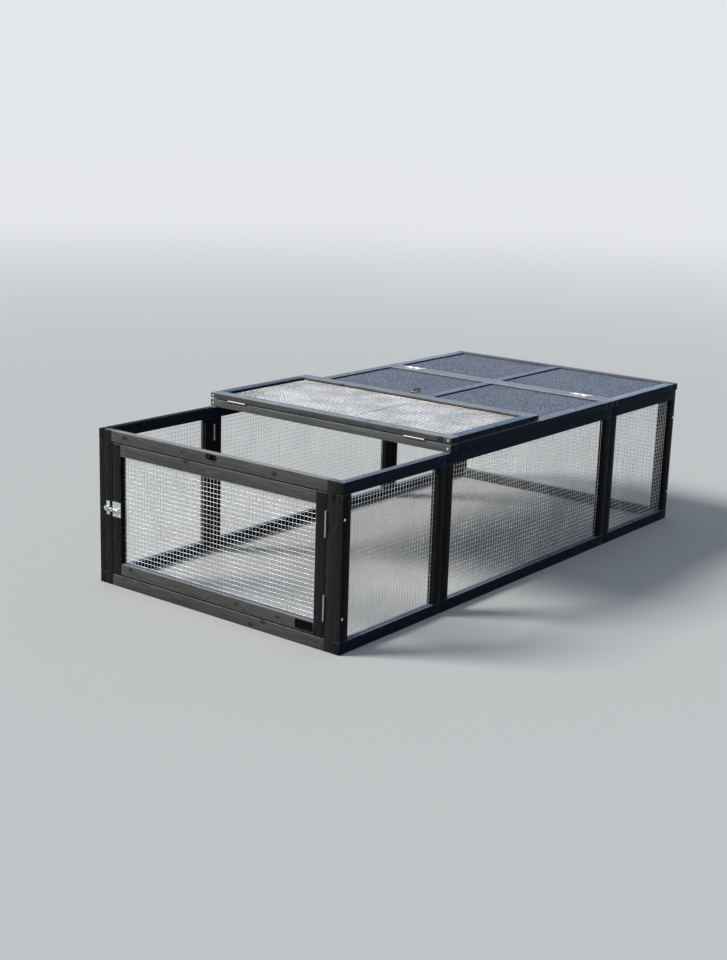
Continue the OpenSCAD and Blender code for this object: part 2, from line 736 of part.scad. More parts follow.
module hasp_plate() {
    color(black_metal) folded_back() difference() {
        union() {
            translate([hasp_x - strap_width / 2, mesh_lid_y - hasp_plate_thick, hasp_axis_z])
                cube([strap_width, hasp_plate_thick, roof_top - hasp_plate_drop - hasp_axis_z]);
            for (x = [-strap_width / 2, strap_width / 2 - hasp_segment + knuckle_gap]) {
                hasp_knuckle(x, hasp_segment - knuckle_gap);
                translate([hasp_x + x, hasp_axis_y, hasp_axis_z])
                    cube([hasp_segment - knuckle_gap, mesh_lid_y - hasp_axis_y,
                          hasp_knuckle_radius]);
            }
        }
        hasp_bore();
    }
}
module hasp_pin() {
    color(black_metal) folded_back() translate([hasp_x, hasp_axis_y, hasp_axis_z])
        rotate([0, 90, 0]) cylinder(r = hasp_pin_radius, h = strap_width + pin_proud, center = true);
}
module strap_shape() {
    corner_x = strap_width / 2 - strap_end_radius;
    corner_z = strap_end_radius - strap_length;
    difference() {
        union() {
            translate([-strap_width / 2, corner_z]) square([strap_width, -corner_z]);
            translate([-corner_x, -strap_length])
                square([2 * corner_x, strap_end_radius + weld]);
            for (x = [-corner_x, corner_x])
                translate([x, corner_z]) circle(r = strap_end_radius);
        }
        translate([-slot_width / 2, slot_end - strap_length])
            square([slot_width, staple_height + 2 * slot_end_clear]);
        // Clear of the plate's knuckles
        for (x = [-strap_width / 2 - past, strap_width / 2 - hasp_segment - knuckle_gap])
            translate([x, -hasp_knuckle_radius - knuckle_gap])
                square([hasp_segment + past + knuckle_gap, hasp_knuckle_radius + past]);
    }
}
module hasp_strap() {
    color(black_metal) folded_back()
        translate([hasp_x, hasp_axis_y, hasp_axis_z]) rotate([-strap_lean, 0, 0])
        translate([-hasp_x, -hasp_axis_y, -hasp_axis_z]) difference() {
            union() {
                hasp_knuckle(-hasp_segment / 2 + knuckle_gap / 2, hasp_segment - knuckle_gap);
                translate([hasp_x, hasp_axis_y - strap_set, hasp_axis_z])
                    rotate([90, 0, 0]) linear_extrude(height = strap_thick) strap_shape();
            }
            hasp_bore();
        }
}
module staple_plate() {
    half = (staple_plate_length - staple_plate_height) / 2;
    color(black_metal) translate([hasp_x, front_y, staple_z]) rotate([90, 0, 0])
        linear_extrude(height = staple_plate_thick) {
            square([2 * half, staple_plate_height], center = true);
            for (x = [-half, half])
                translate([x, 0]) circle(r = staple_plate_height / 2);
        }
}
// A wire loop in an upright plane, wide enough for a clip or a small padlock
module staple_loop() {
    leg = staple_height / 2 - staple_wire_radius;
    color(black_metal) translate([hasp_x, front_y - staple_plate_thick, staple_z])
        rotate([0, 90, 180]) {
            translate([0, staple_reach - leg - staple_wire_radius, 0])
                rotate_extrude(angle = 180) translate([leg, 0]) circle(r = staple_wire_radius);
            for (x = [-leg, leg]) translate([x, 0, 0]) rotate([-90, 0, 0])
                cylinder(r = staple_wire_radius, h = staple_reach - leg - staple_wire_radius);
        }
}

// ---- Screws as fitted ----------------------------------------------------------------
module frame_screws() {
    color(zinc) on_both_walls() {
        at_corner_screws() wood_screw(corner_screw_depth);
        at_bay_screws() wood_screw(frame_screw_depth);
    }
}
module roof_screws() {
    color(zinc) {
        on_both_walls() at_fixing_screws() wood_screw(fixing_screw_depth);
        at_roof_frame_screws(roof_y, roof_length) wood_screw(frame_screw_depth);
    }
}
module mesh_lid_screws() {
    color(zinc) folded_back() at_mesh_lid_screws() wood_screw(mesh_lid_screw_depth);
}
module rear_lid_screws() {
    color(zinc)
        at_roof_frame_screws(rear_lid_y, rear_lid_length) wood_screw(frame_screw_depth);
}

front_stiles();
front_rails();
rear_stiles();
rear_rails();
rear_mesh();
right_front_stiles();
right_front_rails();
right_front_mesh();
right_middle_stiles();
right_middle_rails();
right_middle_mesh();
right_rear_stiles();
right_rear_rails();
right_rear_mesh();
left_front_stiles();
left_front_rails();
left_front_mesh();
left_middle_stiles();
left_middle_rails();
left_middle_mesh();
left_rear_stiles();
left_rear_rails();
left_rear_mesh();
roof_cross_rails();
roof_side_rails();
roof_centre_bar();
roof_boards();
roof_felt();
roof_hinge_leaves();
door_post_hinge_leaves();
seam_hinge_leaves();
hinge_pins();
bolt_keeper();
staple_plate();
staple_loop();
frame_screws();
roof_screws();
door_stiles();
door_rails();
door_mesh();
door_hinge_leaves();
door_plate();
bolt_plate();
bolt_rod();
mesh_lid_cross_rails();
mesh_lid_side_rails();
mesh_lid_mesh();
mesh_lid_hinge_leaves();
mesh_lid_screws();
hasp_plate();
hasp_pin();
hasp_strap();
rear_lid_cross_rails();
rear_lid_side_rails();
rear_lid_centre_bar();
rear_lid_boards();
rear_lid_felt();
rear_lid_hinge_leaves();
rear_lid_screws();
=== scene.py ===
"""Looks of an outdoor rabbit run: sawn boards, welded mesh, roofing felt and fittings."""

import json
import math

import bmesh
import bpy
from bpy.props import FloatProperty, FloatVectorProperty, IntProperty, PointerProperty
from mathutils import Matrix, Vector, noise

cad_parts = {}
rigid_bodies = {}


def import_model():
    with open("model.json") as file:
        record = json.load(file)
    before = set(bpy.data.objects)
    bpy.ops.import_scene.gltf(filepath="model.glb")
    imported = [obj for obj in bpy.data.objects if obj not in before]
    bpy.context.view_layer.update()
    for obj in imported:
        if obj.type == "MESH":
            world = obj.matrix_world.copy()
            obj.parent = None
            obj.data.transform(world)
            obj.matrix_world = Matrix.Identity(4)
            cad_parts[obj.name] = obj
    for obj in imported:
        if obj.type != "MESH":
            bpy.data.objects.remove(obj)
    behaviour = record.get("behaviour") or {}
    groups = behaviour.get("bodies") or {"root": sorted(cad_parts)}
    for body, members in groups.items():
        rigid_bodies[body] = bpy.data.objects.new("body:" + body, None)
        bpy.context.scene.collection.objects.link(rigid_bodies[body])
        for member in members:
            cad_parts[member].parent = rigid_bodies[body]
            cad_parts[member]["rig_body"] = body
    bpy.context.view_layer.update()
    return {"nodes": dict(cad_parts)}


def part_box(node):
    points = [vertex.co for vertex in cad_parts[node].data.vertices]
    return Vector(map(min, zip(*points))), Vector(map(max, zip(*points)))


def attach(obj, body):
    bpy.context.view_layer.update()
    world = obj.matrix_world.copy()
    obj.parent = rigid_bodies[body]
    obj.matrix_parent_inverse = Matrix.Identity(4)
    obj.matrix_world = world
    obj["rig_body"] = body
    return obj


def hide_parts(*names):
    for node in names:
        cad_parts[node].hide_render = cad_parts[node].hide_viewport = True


bl_info = {
    "name": "Outdoor Rabbit Run",
    "version": (1, 0, 0),
    "blender": (4, 5, 0),
    "location": "View3D > Sidebar > Rabbit Run",
    "description": "Boards, welded mesh, felt and fittings of a low outdoor rabbit run",
    "category": "Object",
}

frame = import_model()

# Direction of the grain in each timber node: 0 across the run, 1 along it, 2 upright
TIMBERS = {
    "front_rails": 0, "front_stiles": 2, "rear_rails": 0, "rear_stiles": 2,
    "door_rails": 0, "door_stiles": 2,
    "roof_cross_rails": 0, "roof_side_rails": 1, "roof_centre_bar": 1,
    "mesh_lid_cross_rails": 0, "mesh_lid_side_rails": 1,
    "rear_lid_cross_rails": 0, "rear_lid_side_rails": 1, "rear_lid_centre_bar": 1,
}
for wall in ("right", "left"):
    for bay in ("front", "middle", "rear"):
        TIMBERS[f"{wall}_{bay}_rails"] = 1
        TIMBERS[f"{wall}_{bay}_stiles"] = 2

NETS = ["rear_mesh", "door_mesh", "mesh_lid_mesh"] + [
    f"{wall}_{bay}_mesh" for wall in ("right", "left") for bay in ("front", "middle", "rear")
]
FELTS = ["roof_felt", "rear_lid_felt"]
ROOF_BOARDS = ["roof_boards", "rear_lid_boards"]
HINGE_PARTS = [
    "roof_hinge_leaves", "door_post_hinge_leaves", "seam_hinge_leaves", "hinge_pins",
    "door_hinge_leaves", "mesh_lid_hinge_leaves", "rear_lid_hinge_leaves",
]
BOLT_PARTS = ["bolt_plate", "bolt_rod", "bolt_keeper"]
HASP_PARTS = ["hasp_plate", "hasp_pin", "hasp_strap", "staple_plate", "staple_loop"]
SCREWS = ["frame_screws", "roof_screws", "mesh_lid_screws", "rear_lid_screws"]


# ---- Sizes and colours ----------------------------------------------------------------


def length(name, default, description):
    """A size in metres that the panel shows."""
    return FloatProperty(
        name=name, default=default, min=0.0, unit="LENGTH", precision=5, description=description
    )


def factor(name, default, description):
    """A plain number from 0 up that the panel shows."""
    return FloatProperty(name=name, default=default, min=0.0, description=description)


def colour(name, default, description):
    """A colour that the panel shows."""
    return FloatVectorProperty(
        name=name, default=default, size=3, min=0.0, max=1.0, subtype="COLOR",
        description=description,
    )


class TimberSettings(bpy.types.PropertyGroup):
    """Sizes and colours of the sawn boards"""

    edge_radius: length("Edge radius", 0.0007, "Rounding of the boards' edges")
    sawn_depth: length("Sawn depth", 0.00012, "How far the sawn faces lie inside the plan")
    wander: length("Wander", 0.00012, "Unevenness of the sawn faces")
    # Cross rails: their stain lightened by a painted highlight along the grain
    cross_stain_and_highlight: colour("Cross rail colour", (0.107, 0.107, 0.104), "Stain on the cross rails")
    side_color: colour("Side rail colour", (0.022, 0.023, 0.026), "Stain on the side rails")
    stile_color: colour("Stile colour", (0.021, 0.020, 0.022), "Stain on upright boards")
    # Tops of the boards lightened by a painted sky reflection
    cross_top: colour("Cross rail top", (0.312, 0.330, 0.372), "Bleached tops of the cross rails")
    side_top: colour("Side rail top", (0.239, 0.288, 0.374), "Bleached tops of the side rails")
    # Painted shade on the faces turned away from the key lamp, for rails and for stiles
    shaded_color: colour("Shaded side", (0.0095, 0.0165, 0.031), "Stain on the sheltered side")
    shaded_stile: colour("Shaded stile", (0.0115, 0.0110, 0.0120), "Sheltered side of stiles")
    # Painted shade in the gaps under boards and in the grooves that hold the mesh
    gap_shade: colour("Gap colour", (0.003, 0.002, 0.001), "Strips and grooves in the dark")
    knot_tone: factor("Knot tone", 0.28, "Tone of knots beside the faces")
    knot_radius: length("Knot radius", 0.0085, "Radius of the largest knots")
    soaked: factor("End grain", 0.7, "Tone of end grain beside the faces")
    rubbed_width: length("Rubbed width", 0.0042, "How far the wear reaches from an edge")
    # The lit front strip of a sheltered top keeps its painted sky reflection; behind it the top
    # gets painted shade
    sheltered_lip: length("Sheltered lip", 0.0020, "Bleached front strip of a sheltered board")
    # Width of the painted shade that stands for the groove
    groove_half: length("Groove", 0.0018, "Half width of the grooves that hold the mesh")
    worn_color: colour("Worn colour", (0.24, 0.24, 0.245), "Stain where it has rubbed thin")
    # The sheen's blue tint is a painted sky colour
    sheen_sky_tint: colour("Sheen colour", (0.62, 0.80, 1.0), "Raised fibres seen along the board")


class MeshSettings(bpy.types.PropertyGroup):
    """Sizes and colours of the welded mesh"""

    pitch: length("Pitch", 0.0127, "Distance between two wires")
    wire_radius: length("Wire radius", 0.0005, "Radius of a wire")
    bulge: length("Bulge", 0.0016, "How far the mesh stands out of its plane")
    sides: IntProperty(name="Sides", default=6, min=4, max=12, description="Sides of a wire")
    # The wire's faint blue is a painted sky reflection
    wire_color: colour("Wire colour", (0.93, 0.935, 0.945), "Galvanised wire")


class FeltSettings(bpy.types.PropertyGroup):
    """Sizes and colours of the roofing felt and the plywood under it"""

    ripple: length("Ripple", 0.0007, "Unevenness of the felt")
    granule: length("Granule", 0.0030, "Size of the mineral granules")
    dark_color: colour("Dark granules", (0.028, 0.037, 0.056), "Darker granules")
    light_color: colour("Light granules", (0.290, 0.350, 0.480), "Lighter granules")
    ply_dark: colour("Dark plywood", (0.032, 0.028, 0.026), "Stained plywood, darker grain")
    ply_light: colour("Light plywood", (0.11, 0.095, 0.085), "Stained plywood, lighter grain")


class MetalSettings(bpy.types.PropertyGroup):
    """Sizes and colours of the fittings"""

    edge_radius: length("Edge radius", 0.00014, "Rounding of the fittings' edges")
    hinge_color: colour("Hinge colour", (0.43, 0.435, 0.43), "Plated hinge steel")
    zinc_color: colour("Zinc colour", (0.96, 0.98, 0.95), "Bright zinc plate")
    dull_zinc_color: colour("Dull zinc colour", (0.67, 0.71, 0.69), "Zinc of the bolt's plate")
    # A lighter copy of the hinge steel: a painted sky reflection on the rear lid's leaves
    hinge_sky_lit_color: colour("Lid hinge colour", (0.90, 0.92, 0.95), "Brighter hinge steel")
    black_color: colour("Black colour", (0.003, 0.003, 0.0033), "Black fittings")


class StageSettings(bpy.types.PropertyGroup):
    """Floor, light and camera"""

    floor_color: colour("Floor colour", (0.64, 0.65, 0.655), "Pale floor round the run")
    far_color: colour("Far floor colour", (0.935, 0.938, 0.952), "Floor near the backdrop")
    bounce_color: colour("Bounce colour", (0.24, 0.25, 0.23), "Light that the floor throws back")
    sky_color: colour("Sky colour", (0.76, 0.87, 1.0), "Soft light from all round")
    sky_strength: factor("Sky strength", 0.32, "Strength of the soft light")
    key_strength: factor("Key strength", 2.9, "Strength of the key lamp")
    key_softness: FloatProperty(
        name="Key softness", default=math.radians(20.0), min=0.0, subtype="ANGLE",
        description="Apparent size of the key lamp",
    )
    focal_length: FloatProperty(
        name="Focal length", default=55.28, min=1.0, description="Lens of the camera, in mm"
    )


SETTINGS = {
    "run_timber": TimberSettings,
    "run_mesh": MeshSettings,
    "run_felt": FeltSettings,
    "run_metal": MetalSettings,
    "run_stage": StageSettings,
}


# ---- Shader nodes ---------------------------------------------------------------------


def fill(tree, node, inputs):
    """Links some inputs of a node, or sets their values."""
    for key, value in inputs.items():
        if isinstance(value, bpy.types.NodeSocket):
            tree.links.new(value, node.inputs[key])
        else:
            node.inputs[key].default_value = value


def put(tree, kind, inputs=None, **values):
    """A new node with its properties set and its inputs linked or filled in."""
    node = tree.nodes.new(kind)
    for key, value in values.items():
        setattr(node, key, value)
    fill(tree, node, inputs or {})
    return node


def calc(tree, operation, *terms):
    """The result of a Math node."""
    inputs = {i: term for i, term in enumerate(terms)}
    return put(tree, "ShaderNodeMath", inputs, operation=operation).outputs[0]


def vector_calc(tree, operation, *terms):
    """The result of a Vector Math node."""
    inputs = {i: term for i, term in enumerate(terms)}
    node = put(tree, "ShaderNodeVectorMath", inputs, operation=operation)
    return node.outputs["Value" if operation in ("LENGTH", "DOT_PRODUCT") else "Vector"]


def scaled(tree, vector, factor):
    """A colour or vector times a number."""
    return put(
        tree, "ShaderNodeVectorMath", {"Vector": vector, "Scale": factor}, operation="SCALE"
    ).outputs["Vector"]


def fade(tree, value, start, end, low=0.0, high=1.0):
    """value goes smoothly from low to high between start and end."""
    inputs = {"Value": value, "From Min": start, "From Max": end, "To Min": low, "To Max": high}
    node = put(tree, "ShaderNodeMapRange", inputs, interpolation_type="SMOOTHSTEP")
    return node.outputs["Result"]


def tint(tree, factor, first, second):
    """The first colour turns into the second as factor goes from 0 to 1."""

    def filled(value):
        return value if isinstance(value, bpy.types.NodeSocket) else (*value, 1.0)

    node = put(
        tree, "ShaderNodeMix", {0: factor, 6: filled(first), 7: filled(second)}, data_type="RGBA"
    )
    return node.outputs[2]


def parts(tree, vector):
    """The three parts of a vector."""
    return put(tree, "ShaderNodeSeparateXYZ", {0: vector}).outputs


def cloud(tree, position, scale, detail=2.0, roughness=0.5, distortion=0.0):
    """Noise from 0 to 1."""
    inputs = {
        "Vector": position, "Scale": scale, "Detail": detail, "Roughness": roughness,
        "Distortion": distortion,
    }
    return put(tree, "ShaderNodeTexNoise", inputs).outputs[0]


def shader_group(name, inputs, outputs):
    """An empty node group with those sockets, its input node and its output node."""
    group = bpy.data.node_groups.new(name, "ShaderNodeTree")
    for label, kind in inputs:
        group.interface.new_socket(name=label, in_out="INPUT", socket_type=f"NodeSocket{kind}")
    for label, kind in outputs:
        group.interface.new_socket(name=label, in_out="OUTPUT", socket_type=f"NodeSocket{kind}")
    return group, group.nodes.new("NodeGroupInput"), group.nodes.new("NodeGroupOutput")


def place(tree, name, inputs):
    """The outputs of a node group from shader_group, placed in a material."""
    return put(tree, "ShaderNodeGroup", inputs, node_tree=bpy.data.node_groups[name]).outputs


def layer(tree, name, output="Vector"):
    """One of the facts that board() stores in each vertex of a board."""
    return put(tree, "ShaderNodeAttribute", attribute_name=name).outputs[output]


def material(name):
    """A new material with its tree and its Principled BSDF."""
    made = bpy.data.materials.new(name)
    made.use_nodes = True
    tree = made.node_tree
    shader = next(n for n in tree.nodes if n.type == "BSDF_PRINCIPLED")
    return made, tree, shader


def object_position(tree):
    """Places in the frame that all pieces share."""
    return put(tree, "ShaderNodeTexCoord").outputs["Object"]


def bump(tree, shader, height, distance, strength):
    """Raises the surface by a height times a distance in metres, with some strength."""
    node = put(
        tree, "ShaderNodeBump", {"Height": height, "Distance": distance, "Strength": strength}
    )
    tree.links.new(node.outputs["Normal"], shader.inputs["Normal"])


# Noise scales of the grain, per metre, and how many waves of rings the noise makes
FIBRE_SCALE, RING_SCALE, BLOTCH_SCALE = 900.0, 62.0, 7.0
RING_WAVES = 46.0
# Noise scale and depth of the knots' ragged rims
KNOT_RIM_SCALE, KNOT_RIM = 260.0, 0.004
# Half sizes closer than this count as the same thickness
THICKNESS_SLACK = 0.001
# Keeps divisions from dividing by nothing
TINY = 1e-5
# How many times its own size a knot bends the rings round it, and by how much
HALO_REACH, HALO_BEND = 3.5, 0.35
# How far each board's seed moves it through the grain, per unit
SEED_SHIFT = (3.1, 5.7, 4.3)
# Knots per metre and a knot's lengthening, each as share of Stretch and even part
CELLS_PER_METRE = (18.0,) * 3, (6.5,) * 3
KNOT_STRETCH = (0.45,) * 3, (0.55,) * 3


def build_grain_group():
    """Softwood: fibres, growth rings and knots along a board, each board cut elsewhere."""
    look = bpy.context.scene.run_timber
    group, given, out = shader_group(
        "Board grain",
        [
            ("Position", "Vector"), ("Centre", "Vector"), ("Half", "Vector"), ("Seed", "Float"),
            ("Stretch", "Vector"),
        ],
        [("Fibre", "Float"), ("Rings", "Float"), ("Blotch", "Float"), ("Knot", "Float")],
    )
    local = vector_calc(group, "SUBTRACT", given.outputs["Position"], given.outputs["Centre"])
    shift = scaled(group, SEED_SHIFT, given.outputs["Seed"])
    moved = vector_calc(group, "ADD", local, shift)
    drawn = vector_calc(group, "MULTIPLY", moved, given.outputs["Stretch"])

    # A knot runs through the board's thickness, so that axis doesn't count
    half = parts(group, given.outputs["Half"])
    thin = calc(group, "MINIMUM", half[0], calc(group, "MINIMUM", half[1], half[2]))
    wide = vector_calc(
        group, "SUBTRACT", given.outputs["Half"], calc(group, "ADD", thin, THICKNESS_SLACK)
    )
    wide = vector_calc(group, "MAXIMUM", vector_calc(group, "SIGN", wide), (0.0,) * 3)
    stretch = given.outputs["Stretch"]
    cells_per_metre = vector_calc(group, "MULTIPLY_ADD", stretch, *CELLS_PER_METRE)
    flat = vector_calc(group, "ADD", vector_calc(group, "MULTIPLY", local, wide), shift)
    cell_place = vector_calc(group, "MULTIPLY", flat, cells_per_metre)
    cell = put(group, "ShaderNodeTexVoronoi", {"Vector": cell_place, "Scale": 1.0})
    away = vector_calc(
        group, "DIVIDE", vector_calc(group, "SUBTRACT", cell_place, cell.outputs["Position"]),
        cells_per_metre,
    )
    away = vector_calc(group, "MULTIPLY", away, wide)
    drawn_out = vector_calc(group, "MULTIPLY_ADD", stretch, *KNOT_STRETCH)
    away = vector_calc(group, "MULTIPLY", away, drawn_out)
    ragged = cloud(group, moved, KNOT_RIM_SCALE)
    gap = calc(
        group, "ADD", vector_calc(group, "LENGTH", away),
        calc(group, "MULTIPLY_ADD", ragged, KNOT_RIM, -KNOT_RIM / 2),
    )
    random_value = put(group, "ShaderNodeSeparateColor", {"Color": cell.outputs["Color"]})
    reach = fade(group, random_value.outputs[0], 0.15, 0.85, 0.0, look.knot_radius)
    knot = calc(group, "DIVIDE", gap, calc(group, "ADD", reach, TINY))
    knot = fade(group, calc(group, "SUBTRACT", 1.0, knot), -0.15, 0.75)
    halo = calc(group, "DIVIDE", gap, calc(group, "MULTIPLY_ADD", reach, HALO_REACH, TINY))
    halo = fade(group, halo, 1.0, 0.0)

    rings = cloud(group, drawn, RING_SCALE, 1.0, 0.3, 0.4)
    rings = calc(group, "MULTIPLY_ADD", halo, HALO_BEND, rings)
    rings = calc(group, "SINE", calc(group, "MULTIPLY", rings, RING_WAVES))
    rings = calc(group, "MULTIPLY_ADD", rings, 0.5, 0.5)

    fibre = cloud(group, drawn, FIBRE_SCALE, 3.0, 0.65)
    blotch = cloud(group, moved, BLOTCH_SCALE, 3.0, 0.55)
    for label, value in (("Fibre", fibre), ("Rings", rings), ("Blotch", blotch), ("Knot", knot)):
        group.links.new(value, out.inputs[label])


WEAR_SCALE = 34.0
# Least and greatest width of the wear beside the given width
WEAR_WIDTHS = (0.05, 1.4)


def build_wear_group():
    """Edges of a board where the stain has rubbed thin, wider where the noise lets it."""
    group, given, out = shader_group(
        "Rubbed edges",
        [("Position", "Vector"), ("Centre", "Vector"), ("Half", "Vector"), ("Width", "Float")],
        [("Rubbed", "Float")],
    )
    position = given.outputs["Position"]
    local = vector_calc(group, "SUBTRACT", position, given.outputs["Centre"])
    depth = vector_calc(
        group, "SUBTRACT", given.outputs["Half"], vector_calc(group, "ABSOLUTE", local)
    )
    part = parts(group, depth)
    low = calc(group, "MINIMUM", part[0], part[1])
    high = calc(group, "MAXIMUM", part[0], part[1])
    middle = calc(group, "MAXIMUM", low, calc(group, "MINIMUM", high, part[2]))
    uneven = calc(
        group, "MULTIPLY", given.outputs["Width"],
        fade(group, cloud(group, position, WEAR_SCALE, 4.0, 0.7), 0.35, 0.75, *WEAR_WIDTHS),
    )
    rubbed = calc(group, "SUBTRACT", 1.0, calc(group, "DIVIDE", middle, uneven))
    group.links.new(fade(group, rubbed, 0.0, 0.9), out.inputs["Rubbed"])


SCRATCH_STRETCH = (1.0, 9.0, 5.0)
# Scale of the scratches beside that of the film
SCRATCH_SCALE = 2.5


def build_dust_group():
    """Dull film and fine scratches on metal."""
    group, given, out = shader_group(
        "Dull film", [("Position", "Vector"), ("Scale", "Float")],
        [("Film", "Float"), ("Scratch", "Float")],
    )
    position, scale = given.outputs["Position"], given.outputs["Scale"]
    film = cloud(group, position, scale, 4.0, 0.6)
    fine = vector_calc(group, "MULTIPLY", position, SCRATCH_STRETCH)
    scratch = cloud(group, fine, calc(group, "MULTIPLY", scale, SCRATCH_SCALE), 2.0, 0.5)
    group.links.new(film, out.inputs["Film"])
    group.links.new(scratch, out.inputs["Scratch"])


# Grain is drawn out along a board: its scale there, beside the scale across it
GRAIN_STRETCH = 0.035
# Share of an axis in a face's normal from which the face starts, and is sure, to face that way
FACING, FACING_NET, FACING_END = (0.4, 0.8), (0.7, 0.9), (0.55, 0.85)
# Soft rims of the groove's painted shade and of the sheltered strip's lit lip
GROOVE_RIM, STRIP_RIM = 0.0003, 0.0010
# Share of each pattern in a board's tone, roughness and relief
EVEN_TONE, TONES = 0.28, {"Rings": 0.36, "Fibre": 0.53, "Blotch": 0.47}
EVEN_ROUGHNESS, ROUGHNESS = 0.50, {"Fibre": 0.25}
RELIEF = {"Rings": 0.35, "Fibre": 1.0, "Knot": 0.6}
RELIEF_DEPTH = 0.00045
KNOT_STRENGTH = 0.9
WORN_LIFT, WORN_STRENGTH = 2.2, 0.55
# How much the raised fibres show on boards along X, Y and Z
SHEEN_WEIGHT = (0.9, 0.35, 0.45)


def mixture(tree, patterns, shares, even=0.0):
    """The sum of some patterns, each times its share, and an even part."""
    total = even
    for name, share in shares.items():
        total = calc(tree, "MULTIPLY_ADD", patterns[name], share, total)
    return total


def groove_shade_mask(tree, axis, normal, local):
    """1 on the strip round the net's plane, on the faces that are turned to the net, where painted
    shade stands for the groove.
    """
    half_width = bpy.context.scene.run_timber.groove_half
    side = layer(tree, "net_side")
    across = vector_calc(
        tree, "SUBTRACT", [float(i != axis) for i in range(3)],
        vector_calc(tree, "ABSOLUTE", side),
    )
    off_plane = vector_calc(tree, "LENGTH", vector_calc(tree, "MULTIPLY", local, across))
    return calc(
        tree, "MULTIPLY", fade(tree, vector_calc(tree, "DOT_PRODUCT", normal, side), *FACING_NET),
        fade(tree, off_plane, half_width, half_width + GROOVE_RIM, 1.0, 0.0),
    )


def stain_and_painted_light(tree, axis, facing, front_depth):
    """A board's stain, a painted sky reflection on top, and painted shade on the side that faces
    away from the sun and on a sheltered top behind its lit lip.
    """
    look = bpy.context.scene.run_timber
    # The cross rails' colour holds a painted highlight along their grain
    stain = (look.cross_stain_and_highlight, look.side_color, look.stile_color)[axis]
    lit_top = (look.cross_top, look.side_top, look.side_top)[axis]
    shaded = (look.shaded_color, look.shaded_color, look.shaded_stile)[axis]
    lit_strip = calc(tree, "SUBTRACT", front_depth, layer(tree, "board_lip", "Fac"))
    lit_strip = fade(tree, lit_strip, 0.0, STRIP_RIM, 1.0, 0.0)
    # Painted sky reflection on the tops, set board by board
    top = vector_calc(tree, "MULTIPLY", lit_top, layer(tree, "board_top_light"))
    # Painted shade on a sheltered top behind its lit lip
    top = tint(tree, lit_strip, look.gap_shade, top)
    face = scaled(tree, stain, layer(tree, "board_tone", "Fac"))
    # Painted shade on the side turned away from the key lamp
    face = tint(tree, fade(tree, facing[0], *FACING), face, shaded)
    # The tops take the painted sky reflection
    return tint(tree, fade(tree, facing[2], *FACING), face, top)


def timber_material(axis):
    """Charcoal-stained softwood with its grain along one axis."""
    look = bpy.context.scene.run_timber
    made, tree, shader = material(f"Stained timber {'XYZ'[axis]}")
    position = object_position(tree)
    normal = put(tree, "ShaderNodeTexCoord").outputs["Normal"]
    facing = parts(tree, normal)
    centre, half = layer(tree, "board_centre"), layer(tree, "board_half")
    local = vector_calc(tree, "SUBTRACT", position, centre)
    stretch = [1.0, 1.0, 1.0]
    stretch[axis] = GRAIN_STRETCH
    cut = {"Position": position, "Centre": centre, "Half": half}
    seed = layer(tree, "board_seed", "Fac")
    grain = place(tree, "Board grain", {**cut, "Seed": seed, "Stretch": stretch})
    rubbed = place(tree, "Rubbed edges", {**cut, "Width": look.rubbed_width})["Rubbed"]

    front_depth = parts(tree, vector_calc(tree, "ADD", local, half))[1]
    base = stain_and_painted_light(tree, axis, facing, front_depth)
    shade = scaled(tree, base, mixture(tree, grain, TONES, EVEN_TONE))
    # Knots, worn edges, end grain and the painted shade of the groove lie over the grain, in this
    # order
    knot = calc(tree, "MULTIPLY", grain["Knot"], KNOT_STRENGTH)
    shade = tint(tree, knot, shade, scaled(tree, base, look.knot_tone))
    worn = vector_calc(tree, "MINIMUM", scaled(tree, base, WORN_LIFT), look.worn_color)
    shade = tint(tree, calc(tree, "MULTIPLY", rubbed, WORN_STRENGTH), shade, worn)
    end_grain = fade(tree, calc(tree, "ABSOLUTE", facing[axis]), *FACING_END)
    shade = tint(tree, end_grain, shade, scaled(tree, base, look.soaked))
    # Painted shade in the groove that holds the mesh
    shade = tint(tree, groove_shade_mask(tree, axis, normal, local), shade, look.gap_shade)
    fill(tree, shader, {
        "Base Color": shade, "Roughness": mixture(tree, grain, ROUGHNESS, EVEN_ROUGHNESS),
        "Specular IOR Level": 0.03, "Sheen Weight": SHEEN_WEIGHT[axis], "Sheen Roughness": 0.3,
        "Sheen Tint": (*look.sheen_sky_tint, 1.0),
    })
    bump(tree, shader, mixture(tree, grain, RELIEF), RELIEF_DEPTH, 0.55)
    return made


def metal_material(name, film_scale, bright, dull, dull_from, roughness):
    """A metal finish, bright and dull by turns, with its tree, its shader and its film."""
    made, tree, shader = material(name)
    film = place(tree, "Dull film", {"Position": object_position(tree), "Scale": film_scale})
    shade = tint(tree, fade(tree, film["Film"], *dull_from), bright, dull)
    rough = fade(tree, film["Scratch"], 0.2, 0.8, *roughness)
    fill(tree, shader, {"Base Color": shade, "Roughness": rough})
    return made, tree, shader, film, shade


# Noise scale of the film on each metal
WIRE_FILM, PLATED_FILM, BLACK_FILM = 70.0, 260.0, 320.0
# Dull wire beside bright wire, and the tones of its long patches
WIRE_DULL = 0.78
PATCH_SCALE, WIRE_PATCHES = 10.0, (0.76, 1.08)
WIRE_ROUGHNESS = (0.34, 0.44)
# How much rougher plate gets where it is scratched
PLATED_SPREAD = 0.25
# Rubbed lacquer beside whole lacquer
BLACK_RUBBED = 4.0
BLACK_ROUGHNESS = (0.12, 0.26)
# Depth of the scratches in plate and in lacquer
PLATED_SCRATCH, BLACK_SCRATCH = 0.00006, 0.00008


